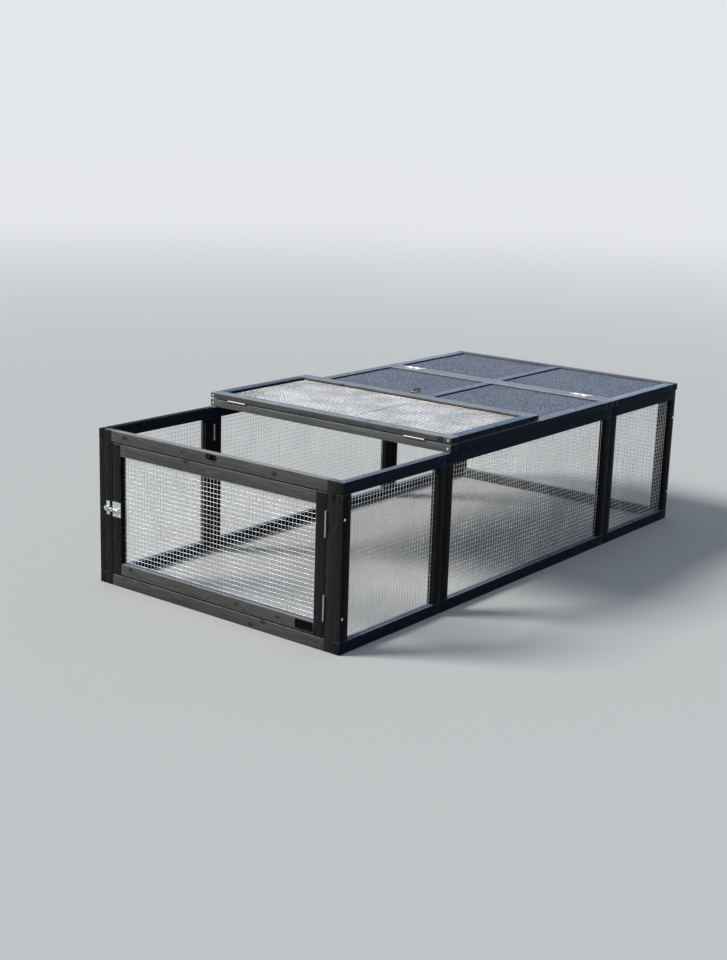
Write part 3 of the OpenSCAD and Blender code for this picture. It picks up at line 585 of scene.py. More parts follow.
def wire_material():
    """Galvanised wire with dull and bright stretches."""
    bright = bpy.context.scene.run_mesh.wire_color
    dull = [WIRE_DULL * c for c in bright]
    made, tree, shader, _, shade = metal_material(
        "Galvanised wire", WIRE_FILM, bright, dull, (0.3, 0.7), WIRE_ROUGHNESS
    )
    patch = fade(tree, cloud(tree, object_position(tree), PATCH_SCALE), 0.36, 0.62, *WIRE_PATCHES)
    fill(tree, shader, {"Base Color": scaled(tree, shade, patch), "Metallic": 1.0})
    return made


def plated_material(name, bright, grime, roughness):
    """Plated steel, dull in places."""
    dull = [grime * c for c in bright]
    made, tree, shader, film, _ = metal_material(
        name, PLATED_FILM, bright, dull, (0.42, 0.75), (roughness, roughness + PLATED_SPREAD)
    )
    fill(tree, shader, {"Metallic": 0.85})
    bump(tree, shader, film["Scratch"], PLATED_SCRATCH, 0.5)
    return made


def black_material(name, specular):
    """Black lacquer, rubbed where it is handled."""
    black = bpy.context.scene.run_metal.black_color
    rubbed = [BLACK_RUBBED * c for c in black]
    made, tree, shader, film, _ = metal_material(
        name, BLACK_FILM, black, rubbed, (0.58, 0.80), BLACK_ROUGHNESS
    )
    fill(tree, shader, {"Specular IOR Level": specular})
    bump(tree, shader, film["Scratch"], BLACK_SCRATCH, 0.5)
    return made


CLUMP_SCALE, FADED_SCALE = 190.0, 7.0
# How much of a granule's tone is its own, and how high the granules stand
GRANULE_TONE, GRANULE_HEIGHT = 0.45, 0.0007


def felt_material():
    """Mineral-faced felt: pale and dark granules bedded in bitumen."""
    look = bpy.context.scene.run_felt
    made, tree, shader = material("Roofing felt")
    position = object_position(tree)
    grain = put(tree, "ShaderNodeTexVoronoi", {"Vector": position, "Scale": 1.0 / look.granule})
    speck = put(tree, "ShaderNodeSeparateColor", {"Color": grain.outputs["Color"]}).outputs
    clump = fade(tree, cloud(tree, position, CLUMP_SCALE, 2.0, 0.8), 0.33, 0.67, -0.35, 0.70)
    faded = fade(tree, cloud(tree, position, FADED_SCALE, 3.0, 0.6), 0.3, 0.7, -0.05, 0.05)
    tone = calc(tree, "ADD", calc(tree, "MULTIPLY_ADD", speck[0], GRANULE_TONE, clump), faded)
    fill(tree, shader, {
        "Base Color": tint(tree, tone, look.dark_color, look.light_color),
        "Roughness": fade(tree, speck[1], 0.0, 1.0, 0.72, 0.95),
    })
    height = calc(tree, "SUBTRACT", 1.0, calc(tree, "MULTIPLY", grain.outputs["Distance"], 1.2))
    bump(tree, shader, height, GRANULE_HEIGHT, 0.7)
    return made


PLY_STRETCH = (0.05, 1.0, 1.0)
PLY_FIBRE_SCALE, PLY_FIGURE_SCALE = 420.0, 26.0
PLY_FIGURE_WAVES = 60.0
# Share of the figure and of the fibre in the plywood's tone
PLY_FIGURE, PLY_FIBRE = 0.16, 0.85


def plywood_material():
    """Thin plywood stained with the run, its face grain across the sheet."""
    look = bpy.context.scene.run_felt
    made, tree, shader = material("Stained plywood")
    drawn = vector_calc(tree, "MULTIPLY", object_position(tree), PLY_STRETCH)
    fibre = cloud(tree, drawn, PLY_FIBRE_SCALE, 4.0, 0.65)
    figure = cloud(tree, drawn, PLY_FIGURE_SCALE, 2.0, 0.5, 0.6)
    figure = calc(tree, "SINE", calc(tree, "MULTIPLY", figure, PLY_FIGURE_WAVES))
    tone = calc(
        tree, "MULTIPLY_ADD", figure, PLY_FIGURE, calc(tree, "MULTIPLY", fibre, PLY_FIBRE)
    )
    fill(tree, shader, {
        "Base Color": tint(tree, tone, look.ply_dark, look.ply_light),
        "Roughness": fade(tree, fibre, 0.2, 0.8, 0.55, 0.8),
    })
    bump(tree, shader, fibre, 0.0003, 0.5)
    return made


# ---- Mesh helpers ---------------------------------------------------------------------


def body_of(node):
    """The body that a CAD node rides on."""
    return frame["nodes"][node]["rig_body"]


def finish_piece(bm, name, body, surface, replaced=(), smooth_angle=25.0):
    """Turns a bmesh into a piece of the object that rides on a body."""
    mesh = bpy.data.meshes.new(name)
    bm.to_mesh(mesh)
    bm.free()
    mesh.materials.append(surface)
    mesh.shade_smooth()
    mesh.set_sharp_from_angle(angle=math.radians(smooth_angle))
    piece = bpy.data.objects.new(name, mesh)
    bpy.context.scene.collection.objects.link(piece)
    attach(piece, body)
    if replaced:
        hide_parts(*replaced)


# Corners closer than this are one corner
SAME_POINT = 1e-6


def merged_copy(node):
    """A CAD node's mesh with its loose triangles joined."""
    bm = bmesh.new()
    bm.from_mesh(frame["nodes"][node].data)
    bmesh.ops.remove_doubles(bm, verts=bm.verts[:], dist=SAME_POINT)
    return bm


def solids(node):
    """The corner points of each separate solid of a CAD node, in a fixed order."""
    bm = merged_copy(node)
    bm.verts.ensure_lookup_table()
    seen, found = set(), []
    for start in bm.verts:
        if start.index in seen:
            continue
        seen.add(start.index)
        stack, points = [start], []
        while stack:
            vert = stack.pop()
            points.append(vert.co.copy())
            for edge in vert.link_edges:
                other = edge.other_vert(vert)
                if other.index not in seen:
                    seen.add(other.index)
                    stack.append(other)
        found.append(points)
    bm.free()
    found.sort(key=lambda points: tuple(round(x, 5) for x in low_corner(points)))
    return found


def low_corner(points):
    """The least x, y and z of some points."""
    return Vector(min(p[i] for p in points) for i in range(3))


def high_corner(points):
    """The greatest x, y and z of some points."""
    return Vector(max(p[i] for p in points) for i in range(3))


def thin_axis(low, high):
    """The axis along which a box is thinnest."""
    size = high - low
    return min(range(3), key=lambda i: size[i])


def join_into(target, source):
    """Adds one bmesh to another and frees it."""
    holder = bpy.data.meshes.new("holder")
    source.to_mesh(holder)
    source.free()
    target.from_mesh(holder)
    bpy.data.meshes.remove(holder)


# ---- Boards ---------------------------------------------------------------------------

# Tops and faces of some boards beside the others, one of each for a board in the order of solids().
# The tops carry a painted sky reflection, lighter or darker board by board, and the black top of
# the left front wall's upper rail is painted shade; the faces are lighter or darker board by board
EVEN = (1.0, 1.0, 1.0)
TOP_PAINTED_LIGHT = {
    "left_front_rails": (EVEN, (0.0, 0.0, 0.0)),
    "right_front_rails": (EVEN, (0.70, 0.70, 0.70)),
    "front_rails": (EVEN, (1.19, 1.12, 0.98)),
    "mesh_lid_side_rails": ((0.48, 0.54, 0.58), (0.71, 0.78, 0.84)),
    "mesh_lid_cross_rails": ((1.14, 1.13, 1.03), (1.00, 0.99, 0.98)),
    "roof_cross_rails": (EVEN, (1.20, 1.24, 1.22)),
    "rear_lid_cross_rails": ((1.16, 1.24, 1.34), (0.40, 0.40, 0.40)),
    "rear_lid_side_rails": ((1.22, 1.22, 1.22), (1.29, 1.38, 1.42)),
}
FACE_TONE = {
    "front_rails": (0.80, 1.03), "roof_cross_rails": (1.34, 1.0), "front_stiles": (1.05, 1.30),
}
# Nodes with a board whose top lies under another and gets painted shade behind a lit lip: True for
# the upper one, False for the lower
SHELTERED = {"door_rails": True, "front_rails": False}
# Depth of the lit strip on all other boards: deeper than any board, so that no painted shade falls
# on their tops
WHOLE_TOP = 1.0
# Two tops closer than this are level
LEVEL_SLACK = 0.001
SEED_STEP = 0.618
# A board's mesh has a ring of points at about this distance, so that its faces can wander
SAWN_STEP = 0.045
WAVES_PER_METRE = 11.0
# What each vertex of a board says of that board, for the timber material
VECTOR_LAYERS = ("board_centre", "board_half", "net_side", "board_top_light")
NUMBER_LAYERS = ("board_seed", "board_tone", "board_lip")


def add_layers(bm):
    """Adds the vertex layers of a board and gives them back by name."""
    layers = {name: bm.verts.layers.float_vector.new(name) for name in VECTOR_LAYERS}
    layers.update({name: bm.verts.layers.float.new(name) for name in NUMBER_LAYERS})
    return layers


def net_side(low, high, axis, net):
    """The unit vector from a board to the net that it holds, or none."""
    side = Vector((0.0, 0.0, 0.0))
    if net in NETS:
        net_low, net_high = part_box(net)
        # The board lies along one axis and the net is thin along another: the third is left
        turned = 3 - axis - thin_axis(net_low, net_high)
        away = (net_low + net_high - low - high)[turned]
        side[turned] = math.copysign(1.0, away)
    return side


def board(low, high, axis, facts):
    """One sawn board: eased edges, slightly uneven faces, its own cut of the grain."""
    look = bpy.context.scene.run_timber
    size, centre = high - low, (high + low) / 2
    seed = facts["board_seed"]
    bm = bmesh.new()
    bmesh.ops.create_cube(bm, size=1.0)
    bmesh.ops.scale(bm, vec=size - Vector((2 * look.sawn_depth,) * 3), verts=bm.verts[:])
    along = [e for e in bm.edges if abs((e.verts[0].co - e.verts[1].co)[axis]) > size[axis] / 2]
    bmesh.ops.subdivide_edges(bm, edges=along, cuts=max(2, int(size[axis] / SAWN_STEP)))
    corners = [e for e in bm.edges if e.calc_face_angle(0.0) > 1.0]
    bmesh.ops.bevel(
        bm, geom=corners, offset=look.edge_radius, offset_type="OFFSET", affect="EDGES",
        segments=2, profile=0.5, material=-1,
    )
    for vert in bm.verts:
        for i in range(3):
            if i != axis:
                spot = vert.co * WAVES_PER_METRE + Vector((seed * 3.7 + i * 5.3, seed, i))
                inward = look.wander * (0.5 + 0.5 * noise.noise(spot))
                vert.co[i] -= math.copysign(min(inward, abs(vert.co[i])), vert.co[i])
    bmesh.ops.translate(bm, vec=centre, verts=bm.verts[:])
    facts = {"board_centre": centre, "board_half": size / 2, **facts}
    layers = add_layers(bm)
    for vert in bm.verts:
        for name, store in layers.items():
            vert[store] = facts[name]
    return bm


class RUN_OT_boards(bpy.types.Operator):
    """Sawn, stained boards of the frames, the walls, the door, the roof and the lids"""

    bl_idname = "run.boards"
    bl_label = "Sawn Boards"

    def execute(self, context):
        surfaces = [timber_material(axis) for axis in range(3)]
        lip = context.scene.run_timber.sheltered_lip
        seed = 0.0
        for node, axis in TIMBERS.items():
            bm = bmesh.new()
            add_layers(bm)
            # The net that hangs in these boards, if there is one
            net = node.replace("_cross", "").replace("_side", "").rsplit("_", 1)[0] + "_mesh"
            boards = solids(node)
            upper = max(high_corner(points).z for points in boards)
            for number, points in enumerate(boards):
                seed += SEED_STEP
                low, high = low_corner(points), high_corner(points)
                sheltered = SHELTERED.get(node) == (high.z > upper - LEVEL_SLACK)
                join_into(bm, board(low, high, axis, {
                    "board_seed": seed,
                    "board_top_light": TOP_PAINTED_LIGHT[node][number] if node in TOP_PAINTED_LIGHT else EVEN,
                    "board_tone": FACE_TONE[node][number] if node in FACE_TONE else 1.0,
                    "board_lip": lip if sheltered else WHOLE_TOP,
                    "net_side": net_side(low, high, axis, net),
                }))
            finish_piece(
                bm, f"sawn_{node}", body_of(node), surfaces[axis], [node]
            )
        return {"FINISHED"}


# ---- Welded mesh ----------------------------------------------------------------------

WIRE_STEPS = 8
# How deep the grooves hold the mesh, and how far from there it comes to its full bulge
MESH_INSET = 0.0077
MESH_EASE = 0.06
BULGES_PER_METRE = 5.5
KINKS_PER_METRE = 30.0
KINK_DEPTH = 0.0002


def wire_run(bm, start, end, sideways, radius, sides):
    """One straight wire, cut into a few steps so that it can follow the mesh's bulge."""
    wire = bmesh.new()
    bmesh.ops.create_cone(
        wire, cap_ends=True, cap_tris=False, segments=sides, radius1=radius, radius2=radius,
        depth=(end - start).length,
    )
    lengthwise = [e for e in wire.edges if abs(e.verts[0].co.z - e.verts[1].co.z) > radius]
    bmesh.ops.subdivide_edges(wire, edges=lengthwise, cuts=WIRE_STEPS - 1)
    direction = (end - start).normalized()
    turn = Matrix((sideways, direction.cross(sideways), direction)).transposed().to_4x4()
    bmesh.ops.transform(
        wire, matrix=Matrix.Translation((start + end) / 2) @ turn, verts=wire.verts[:]
    )
    join_into(bm, wire)


def wire_places(low, high, pitch):
    """Where the wires lie between two edges of the mesh, evenly about its middle."""
    count = int((high - low) / pitch)
    first = (low + high - count * pitch) / 2
    return [first + i * pitch for i in range(count + 1)]


def straight_mesh(low, high, thin, look):
    """The wires of a flat mesh: one layer of them on each side of its plane."""
    flat = [i for i in range(3) if i != thin]
    middle = (low[thin] + high[thin]) / 2
    sideways = Vector(1.0 if i == thin else 0.0 for i in range(3))
    bm = bmesh.new()
    for level, step in enumerate(reversed(flat)):
        for spot in wire_places(low[step], high[step], look.pitch):
            start, end = low.copy(), high.copy()
            start[step] = end[step] = min(
                max(spot, low[step] + look.wire_radius), high[step] - look.wire_radius
            )
            start[thin] = end[thin] = middle + look.wire_radius * (1 - 2 * level)
            wire_run(bm, start, end, sideways, look.wire_radius, look.sides)
    return bm


def bulge_out(bm, low, high, thin, number, look):
    """Bends a mesh out of its plane and kinks it, but not where the grooves hold it."""
    flat = [i for i in range(3) if i != thin]
    for vert in bm.verts:
        ease = 1.0
        for i in flat:
            inside = min(vert.co[i] - low[i], high[i] - vert.co[i]) - MESH_INSET
            ease *= min(1.0, max(0.0, inside / MESH_EASE))
        spot = vert.co * BULGES_PER_METRE + Vector((0, 0, number * 3.3))
        vert.co[thin] += ease * look.bulge * noise.noise(spot)
        fine = vert.co * KINKS_PER_METRE + Vector((number, 0, 0))
        for i in flat:
            vert.co[i] += ease * KINK_DEPTH * noise.noise(fine + Vector((0, 7.0 * i, 0)))


class RUN_OT_welded_mesh(bpy.types.Operator):
    """Welded half-inch mesh in the grooves of the frames, the door and the mesh lid"""

    bl_idname = "run.welded_mesh"
    bl_label = "Welded Mesh"

    def execute(self, context):
        look = context.scene.run_mesh
        surface = wire_material()
        for number, node in enumerate(NETS):
            low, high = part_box(node)
            thin = thin_axis(low, high)
            bm = straight_mesh(low, high, thin, look)
            bulge_out(bm, low, high, thin, number, look)
            finish_piece(
                bm, f"wires_{node}", body_of(node), surface, [node],
                smooth_angle=75.0,
            )
        return {"FINISHED"}


# ---- Felt and roof boards -------------------------------------------------------------

FELT_STEP = 0.012
RIPPLES_PER_METRE = 9.0
# The felt's edge bends down by this over this width
FELT_DROOP, DROOP_WIDTH = 0.0006, 0.009


def felt_sheet(low, high, ripple):
    """One rippled sheet of felt, its rim bent down a little."""
    size = high - low
    bm = bmesh.new()
    bmesh.ops.create_grid(
        bm, x_segments=int(size.x / FELT_STEP), y_segments=int(size.y / FELT_STEP), size=0.5
    )
    top = bm.verts[:]
    bmesh.ops.scale(bm, vec=(size.x, size.y, 1.0), verts=top)
    middle = ((low.x + high.x) / 2, (low.y + high.y) / 2, high.z)
    bmesh.ops.translate(bm, vec=middle, verts=top)
    rim = [e for e in bm.edges if e.is_boundary]
    skirt = bmesh.ops.extrude_edge_only(bm, edges=rim)
    lower = [g for g in skirt["geom"] if isinstance(g, bmesh.types.BMVert)]
    bmesh.ops.translate(bm, vec=(0, 0, -size.z), verts=lower)
    bottom = [e for e in bm.edges if e.is_boundary]
    bmesh.ops.edgenet_fill(bm, edges=bottom)
    for vert in top:
        lift = 0.5 + 0.5 * noise.noise(vert.co * RIPPLES_PER_METRE)
        near = min(
            vert.co.x - low.x, high.x - vert.co.x, vert.co.y - low.y, high.y - vert.co.y
        )
        vert.co.z -= ripple * lift + FELT_DROOP * max(0.0, 1.0 - near / DROOP_WIDTH)
    bmesh.ops.recalc_face_normals(bm, faces=bm.faces[:])
    return bm


class RUN_OT_felt(bpy.types.Operator):
    """Mineral-faced roofing felt on the roof and on the rear lid"""

    bl_idname = "run.felt"
    bl_label = "Roofing Felt"

    def execute(self, context):
        ripple = context.scene.run_felt.ripple
        surface = felt_material()
        for node in FELTS:
            bm = bmesh.new()
            for points in solids(node):
                join_into(bm, felt_sheet(low_corner(points), high_corner(points), ripple))
            finish_piece(bm, f"laid_{node}", body_of(node), surface, [node])
        return {"FINISHED"}


class RUN_OT_roof_boards(bpy.types.Operator):
    """Plywood boards under the felt"""

    bl_idname = "run.roof_boards"
    bl_label = "Roof Boards"

    def execute(self, context):
        surface = plywood_material()
        for node in ROOF_BOARDS:
            frame["nodes"][node].data.materials.clear()
            frame["nodes"][node].data.materials.append(surface)
        return {"FINISHED"}


# ---- Screws ---------------------------------------------------------------------------

# The recess is a cross on a grid of cells, its arms so many cells long
RECESS_CELLS, RECESS_ARM = 7, 2
# Fall of the dome, depth of the recess and side of the head beside its height
DOME_FALL, RECESS_DEPTH, HEAD_SIDE = 0.45, 0.75, 0.55
# Shank beside the head
SHANK_WIDTH = 0.55
# How far each screw of a set is turned
FIRST_SPIN, SPIN_STEP = 0.4, 1.3


def screw_head(radius, height, shank, place_matrix):
    """A low domed head with a cross recess, on a short shank that points to -Z."""
    bm = bmesh.new()
    bmesh.ops.create_grid(bm, x_segments=RECESS_CELLS, y_segments=RECESS_CELLS, size=1.0)
    half_cell = 1.0 / RECESS_CELLS
    arm = half_cell * (2 * RECESS_ARM + 1)
    cross = []
    for face in bm.faces:
        middle = face.calc_center_median()
        near, far = sorted((abs(middle.x), abs(middle.y)))
        if near < half_cell and far < arm:
            cross.append(face)
    for vert in bm.verts:
        x, y = vert.co.x, vert.co.y
        vert.co.x = radius * x * math.sqrt(1.0 - y * y / 2.0)
        vert.co.y = radius * y * math.sqrt(1.0 - x * x / 2.0)
        share = (vert.co.x ** 2 + vert.co.y ** 2) / radius ** 2
        vert.co.z = height * (1.0 - DOME_FALL * share)
    rim = [e for e in bm.edges if e.is_boundary]
    sunk = bmesh.ops.extrude_face_region(bm, geom=cross)
    sunk_verts = [g for g in sunk["geom"] if isinstance(g, bmesh.types.BMVert)]
    bmesh.ops.delete(bm, geom=cross, context="FACES_KEEP_BOUNDARY")
    bmesh.ops.translate(bm, vec=(0, 0, -RECESS_DEPTH * height), verts=sunk_verts)
    for depth, wide in ((height * HEAD_SIDE, 1.0), (shank, SHANK_WIDTH)):
        skirt = bmesh.ops.extrude_edge_only(bm, edges=rim)
        verts = [g for g in skirt["geom"] if isinstance(g, bmesh.types.BMVert)]
        rim = [
            g for g in skirt["geom"]
            if isinstance(g, bmesh.types.BMEdge) and all(v in verts for v in g.verts)
        ]
        bmesh.ops.translate(bm, vec=(0, 0, -depth), verts=verts)
        bmesh.ops.scale(bm, vec=(wide, wide, 1.0), verts=verts)
    bmesh.ops.edgenet_fill(bm, edges=rim)
    bmesh.ops.recalc_face_normals(bm, faces=bm.faces[:])
    bmesh.ops.transform(bm, matrix=place_matrix, verts=bm.verts[:])
    return bm


def screw_turn(point, outward, spin):
    """A matrix that puts a screw's underside at a point, with its head looking outward."""
    turn = outward.to_track_quat("Z", "Y").to_matrix().to_4x4()
    return Matrix.Translation(point) @ turn @ Matrix.Rotation(spin, 4, "Z")


def add_heads(bm, places, radius, height, shank):
    """Adds a set of screws, each at its point, looking outward and turned its own way."""
    for number, (point, outward) in enumerate(places):
        spin = FIRST_SPIN + SPIN_STEP * number
        join_into(bm, screw_head(radius, height, shank, screw_turn(point, outward, spin)))


def screw_set(node, name, places, size, surface):
    """The screws of a fitting as a piece that rides with it."""
    bm = bmesh.new()
    add_heads(bm, places, *size)
    finish_piece(bm, name, body_of(node), surface, ())


# Corners beyond this share of a screw's radius belong to its head
HEAD_SHARE = 0.8


def wood_screw_places(node):
    """Seat, outward direction, head radius and head height of each wood screw of a CAD node."""
    found = []
    for points in solids(node):
        low, high = low_corner(points), high_corner(points)
        size = high - low
        axis = max(range(3), key=lambda i: size[i])
        across = [i for i in range(3) if i != axis]
        centre = (low + high) / 2
        radius = size[across[0]] / 2
        rim = HEAD_SHARE * radius
        wide = [p for p in points if max(abs(p[i] - centre[i]) for i in across) > rim]
        ends = sorted({round(p[axis], 6) for p in wide})
        outward = Vector((0.0, 0.0, 0.0))
        outward[axis] = 1.0 if ends[-1] > centre[axis] else -1.0
        seat = centre.copy()
        seat[axis] = ends[0] if outward[axis] > 0 else ends[-1]
        found.append((seat, outward, radius, ends[-1] - ends[0]))
    return found


# The heads let into the tops of the front bay stand out by this, so that they can be seen
SUNK_LIFT = 0.00028
WOOD_SHANK = 0.004


class RUN_OT_screws(bpy.types.Operator):
    """Wood screws of the frames, the roof and the lids"""

    bl_idname = "run.screws"
    bl_label = "Wood Screws"

    def execute(self, context):
        surface = bpy.data.materials["Bright zinc"]
        wall_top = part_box("front_rails")[1].z
        for node in SCREWS:
            bm = bmesh.new()
            for seat, outward, radius, height in wood_screw_places(node):
                if outward.z > 0.5 and seat.z < wall_top:
                    seat.z += SUNK_LIFT
                add_heads(bm, [(seat, outward)], radius, height, WOOD_SHANK)
            finish_piece(bm, f"driven_{node}", body_of(node), surface, [node])
        return {"FINISHED"}


# ---- Hinges, bolt, hasp ---------------------------------------------------------------

# Edges of the fittings that turn by more than this, in radians, are eased
SHARP = 0.6
# Edge radius of the bolt and of the hasp beside that of the hinges
BOLT_EASE, HASP_EASE = 1.6, 1.4


def dressed(node, surface, edge_radius):
    """A CAD fitting with its sharp edges eased."""
    bm = merged_copy(node)
    bmesh.ops.dissolve_limit(
        bm, angle_limit=math.radians(1.0), verts=bm.verts[:], edges=bm.edges[:]
    )
    sharp = [e for e in bm.edges if len(e.link_faces) == 2 and e.calc_face_angle(0.0) > SHARP]
    bmesh.ops.bevel(
        bm, geom=sharp, offset=edge_radius, offset_type="OFFSET", affect="EDGES", segments=2,
        profile=0.5, material=-1, clamp_overlap=True,
    )
    finish_piece(bm, f"made_{node}", body_of(node), surface, [node])


# Head radius, head height and shank of the small screws
LEAF_SCREW = (0.0030, 0.00022, 0.0006)
PLATE_SCREW = (0.0029, 0.0010, 0.001)
HASP_SCREW = (0.0029, 0.0006, 0.0008)

LEAF_SCREW_SPREAD = 0.025
LEAF_SCREW_EDGE = 0.0085
LEAF_SCREW_STAGGER = 0.003
# The pin of a leaf lies within this of the leaf's height
PIN_REACH = 0.004
# Corners this close to the leaf's free edge lie on it
EDGE_SLACK = 1e-4


def leaf_screws(node, name, outward_z):
    """Three countersunk screws in each leaf that lies on a board."""
    bm = bmesh.new()
    pins = [(low_corner(points), high_corner(points)) for points in solids("hinge_pins")]
    for points in solids(node):
        low, high = low_corner(points), high_corner(points)
        middle, level = (low.x + high.x) / 2, (low.z + high.z) / 2
        # The leaf reaches further from the pin on its free side
        pin_y = min(
            (
                (pin_low.y + pin_high.y) / 2 for pin_low, pin_high in pins
                if abs(pin_low.z - level) < PIN_REACH
            ),
            key=lambda y: min(abs(y - low.y), abs(y - high.y)),
        )
        side = 1.0 if high.y - pin_y > pin_y - low.y else -1.0
        edge = high.y if side > 0 else low.y
        flat = [p.z for p in points if abs(p.y - edge) < EDGE_SLACK]
        face = max(flat) if outward_z > 0 else min(flat)
        outward = Vector((0.0, 0.0, outward_z))
        places = []
        for step in (-1, 0, 1):
            inset = LEAF_SCREW_EDGE + (0.0 if step else LEAF_SCREW_STAGGER)
            x = middle + step * LEAF_SCREW_SPREAD
            places.append((Vector((x, edge - side * inset, face)), outward))
        add_heads(bm, places, *LEAF_SCREW)
    finish_piece(bm, name, body_of(node), bpy.data.materials["Bright zinc"], ())


class RUN_OT_hinges(bpy.types.Operator):
    """Butt hinges of the door, the lids and the walls"""

    bl_idname = "run.hinges"
    bl_label = "Butt Hinges"

    def execute(self, context):
        look = context.scene.run_metal
        surface = plated_material("Hinge steel", look.hinge_color, grime=0.72, roughness=0.38)
        # The rear lid's leaves get the lighter copy, a painted sky reflection
        bright = plated_material(
            "Bright hinge steel", look.hinge_sky_lit_color, grime=0.85, roughness=0.30
        )
        for node in HINGE_PARTS:
            finish = bright if node == "rear_lid_hinge_leaves" else surface
            dressed(node, finish, look.edge_radius)
        leaf_screws("roof_hinge_leaves", "roof_hinge_screws", 1.0)
        leaf_screws("rear_lid_hinge_leaves", "rear_lid_hinge_screws", 1.0)
        leaf_screws("mesh_lid_hinge_leaves", "mesh_lid_hinge_screws", -1.0)
        return {"FINISHED"}


# The screws of the bolt sit on a plate of this thickness, this far from its edges
BOLT_PLATE_THICKNESS = 0.0015
BOLT_SCREW_INSET = 0.0045


class RUN_OT_bolt(bpy.types.Operator):
    """Door bolt, its plate and its keeper, with their screws"""

    bl_idname = "run.bolt"
    bl_label = "Door Bolt"

    def execute(self, context):
        look = context.scene.run_metal
        surface = plated_material("Bright zinc", look.zinc_color, grime=0.45, roughness=0.22)
        plate_surface = plated_material(
            "Dull zinc", look.dull_zinc_color, grime=0.40, roughness=0.30
        )
        for node in BOLT_PARTS:
            finish = surface if node == "bolt_rod" else plate_surface
            dressed(node, finish, BOLT_EASE * look.edge_radius)
        outward = Vector((0.0, -1.0, 0.0))
        rod_low, rod_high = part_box("bolt_rod")
        rod_z = (rod_low.z + rod_high.z) / 2
        for node, columns in (("bolt_plate", 2), ("bolt_keeper", 1)):
            low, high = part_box(node)
            face = high.y - BOLT_PLATE_THICKNESS
            spots = [(low.x + high.x) / 2]
            if columns == 2:
                spots = [low.x + BOLT_SCREW_INSET, high.x - BOLT_SCREW_INSET]
            reach = (high.z - low.z) / 2 - BOLT_SCREW_INSET
            places = [
                (Vector((x, face, rod_z + side * reach)), outward)
                for x in spots for side in (-1, 1)
            ]
            screw_set(node, f"{node}_screws", places, PLATE_SCREW, surface)
        return {"FINISHED"}


# Half the distance between the two screws of the staple and of the hasp's plate
STAPLE_SCREW_SPREAD = 0.0145
HASP_SCREW_SPREAD = 0.008
# Height of the hasp's screws over the foot of its plate
HASP_SCREW_RISE = 0.006


class RUN_OT_hasp(bpy.types.Operator):
    """Hasp on the mesh lid and staple on the front rail"""

    bl_idname = "run.hasp"
    bl_label = "Hasp and Staple"

    def execute(self, context):
        look = context.scene.run_metal
        surface = black_material("Black fittings", specular=0.75)
        flat_surface = black_material("Black plate", specular=0.05)
        for node in HASP_PARTS:
            lacquer = flat_surface if node == "staple_plate" else surface
            dressed(node, lacquer, HASP_EASE * look.edge_radius)
        low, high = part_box("staple_plate")
        middle = (low + high) / 2
        places = [
            (
                Vector((middle.x + side * STAPLE_SCREW_SPREAD, low.y, middle.z)),
                Vector((0.0, -1.0, 0.0)),
            )
            for side in (-1, 1)
        ]
        screw_set("staple_plate", "staple_screws", places, PLATE_SCREW, surface)
        low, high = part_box("hasp_plate")
        middle_x = (low.x + high.x) / 2
        places = [
            (
                Vector((middle_x + side * HASP_SCREW_SPREAD, high.y, low.z + HASP_SCREW_RISE)),
                Vector((0.0, 1.0, 0.0)),
            )
            for side in (-1, 1)
        ]
        screw_set("hasp_plate", "hasp_screws", places, HASP_SCREW, surface)
        return {"FINISHED"}


# Corner radius, width of the rim and depth of the sunk face of the blank plate
PLATE_CORNER, PLATE_RIM, PLATE_STEP = 0.0025, 0.0012, 0.0002


class RUN_OT_door_plate(bpy.types.Operator):
    """Blank plate with eased corners on the door's bottom rail"""

    bl_idname = "run.door_plate"
    bl_label = "Blank Plate"

    def execute(self, context):
        surface = bpy.data.materials["Black plate"]
        low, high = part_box("door_plate")
        bm = bmesh.new()
        bmesh.ops.create_cube(bm, size=1.0)
        bmesh.ops.scale(bm, vec=high - low, verts=bm.verts[:])
        upright = [e for e in bm.edges if abs(e.verts[0].co.y - e.verts[1].co.y) > 1e-5]
        bmesh.ops.bevel(
            bm, geom=upright, offset=PLATE_CORNER, offset_type="OFFSET", affect="EDGES", segments=5,
            profile=0.5, material=-1,
        )
        face = [f for f in bm.faces if f.normal.y < -0.9]
        bmesh.ops.inset_region(bm, faces=face, thickness=PLATE_RIM, depth=0.0)
        bmesh.ops.inset_region(bm, faces=face, thickness=PLATE_STEP, depth=-PLATE_STEP)
        bmesh.ops.translate(bm, vec=(low + high) / 2, verts=bm.verts[:])
        finish_piece(
            bm, "blank_door_plate", body_of("door_plate"), surface, ["door_plate"]
        )
        return {"FINISHED"}


# ---- Stage ----------------------------------------------------------------------------

FLOOR_HALF = 30.0
CLIP_START, CLIP_END = 0.05, 100.0
CAMERA_PLACE = (2.6390, -3.6687, 1.3610)
CAMERA_AZIMUTH = math.radians(37.614)
CAMERA_ELEVATION = math.radians(14.233)
CAMERA_ROLL = math.radians(1.821)
# The key lamp shines from here on the middle of the frame
KEY_PLACE = (-5.9, -5.0, 6.3)
KEY_COLOR = (1.0, 0.965, 0.91)
# The floor runs into the backdrop between these distances from the run
FADE_START, FADE_END = 2.5, 14.0
BACKDROP_SHOWN = (0.78, 0.80, 0.82)


def shown_ray(tree):
    """1 for rays that show the backdrop: from the camera, off metal or through glass."""
    path = put(tree, "ShaderNodeLightPath").outputs
    shown = calc(tree, "MAXIMUM", path["Is Camera Ray"], path["Is Glossy Ray"])
    return calc(tree, "MAXIMUM", shown, path["Is Transmission Ray"])


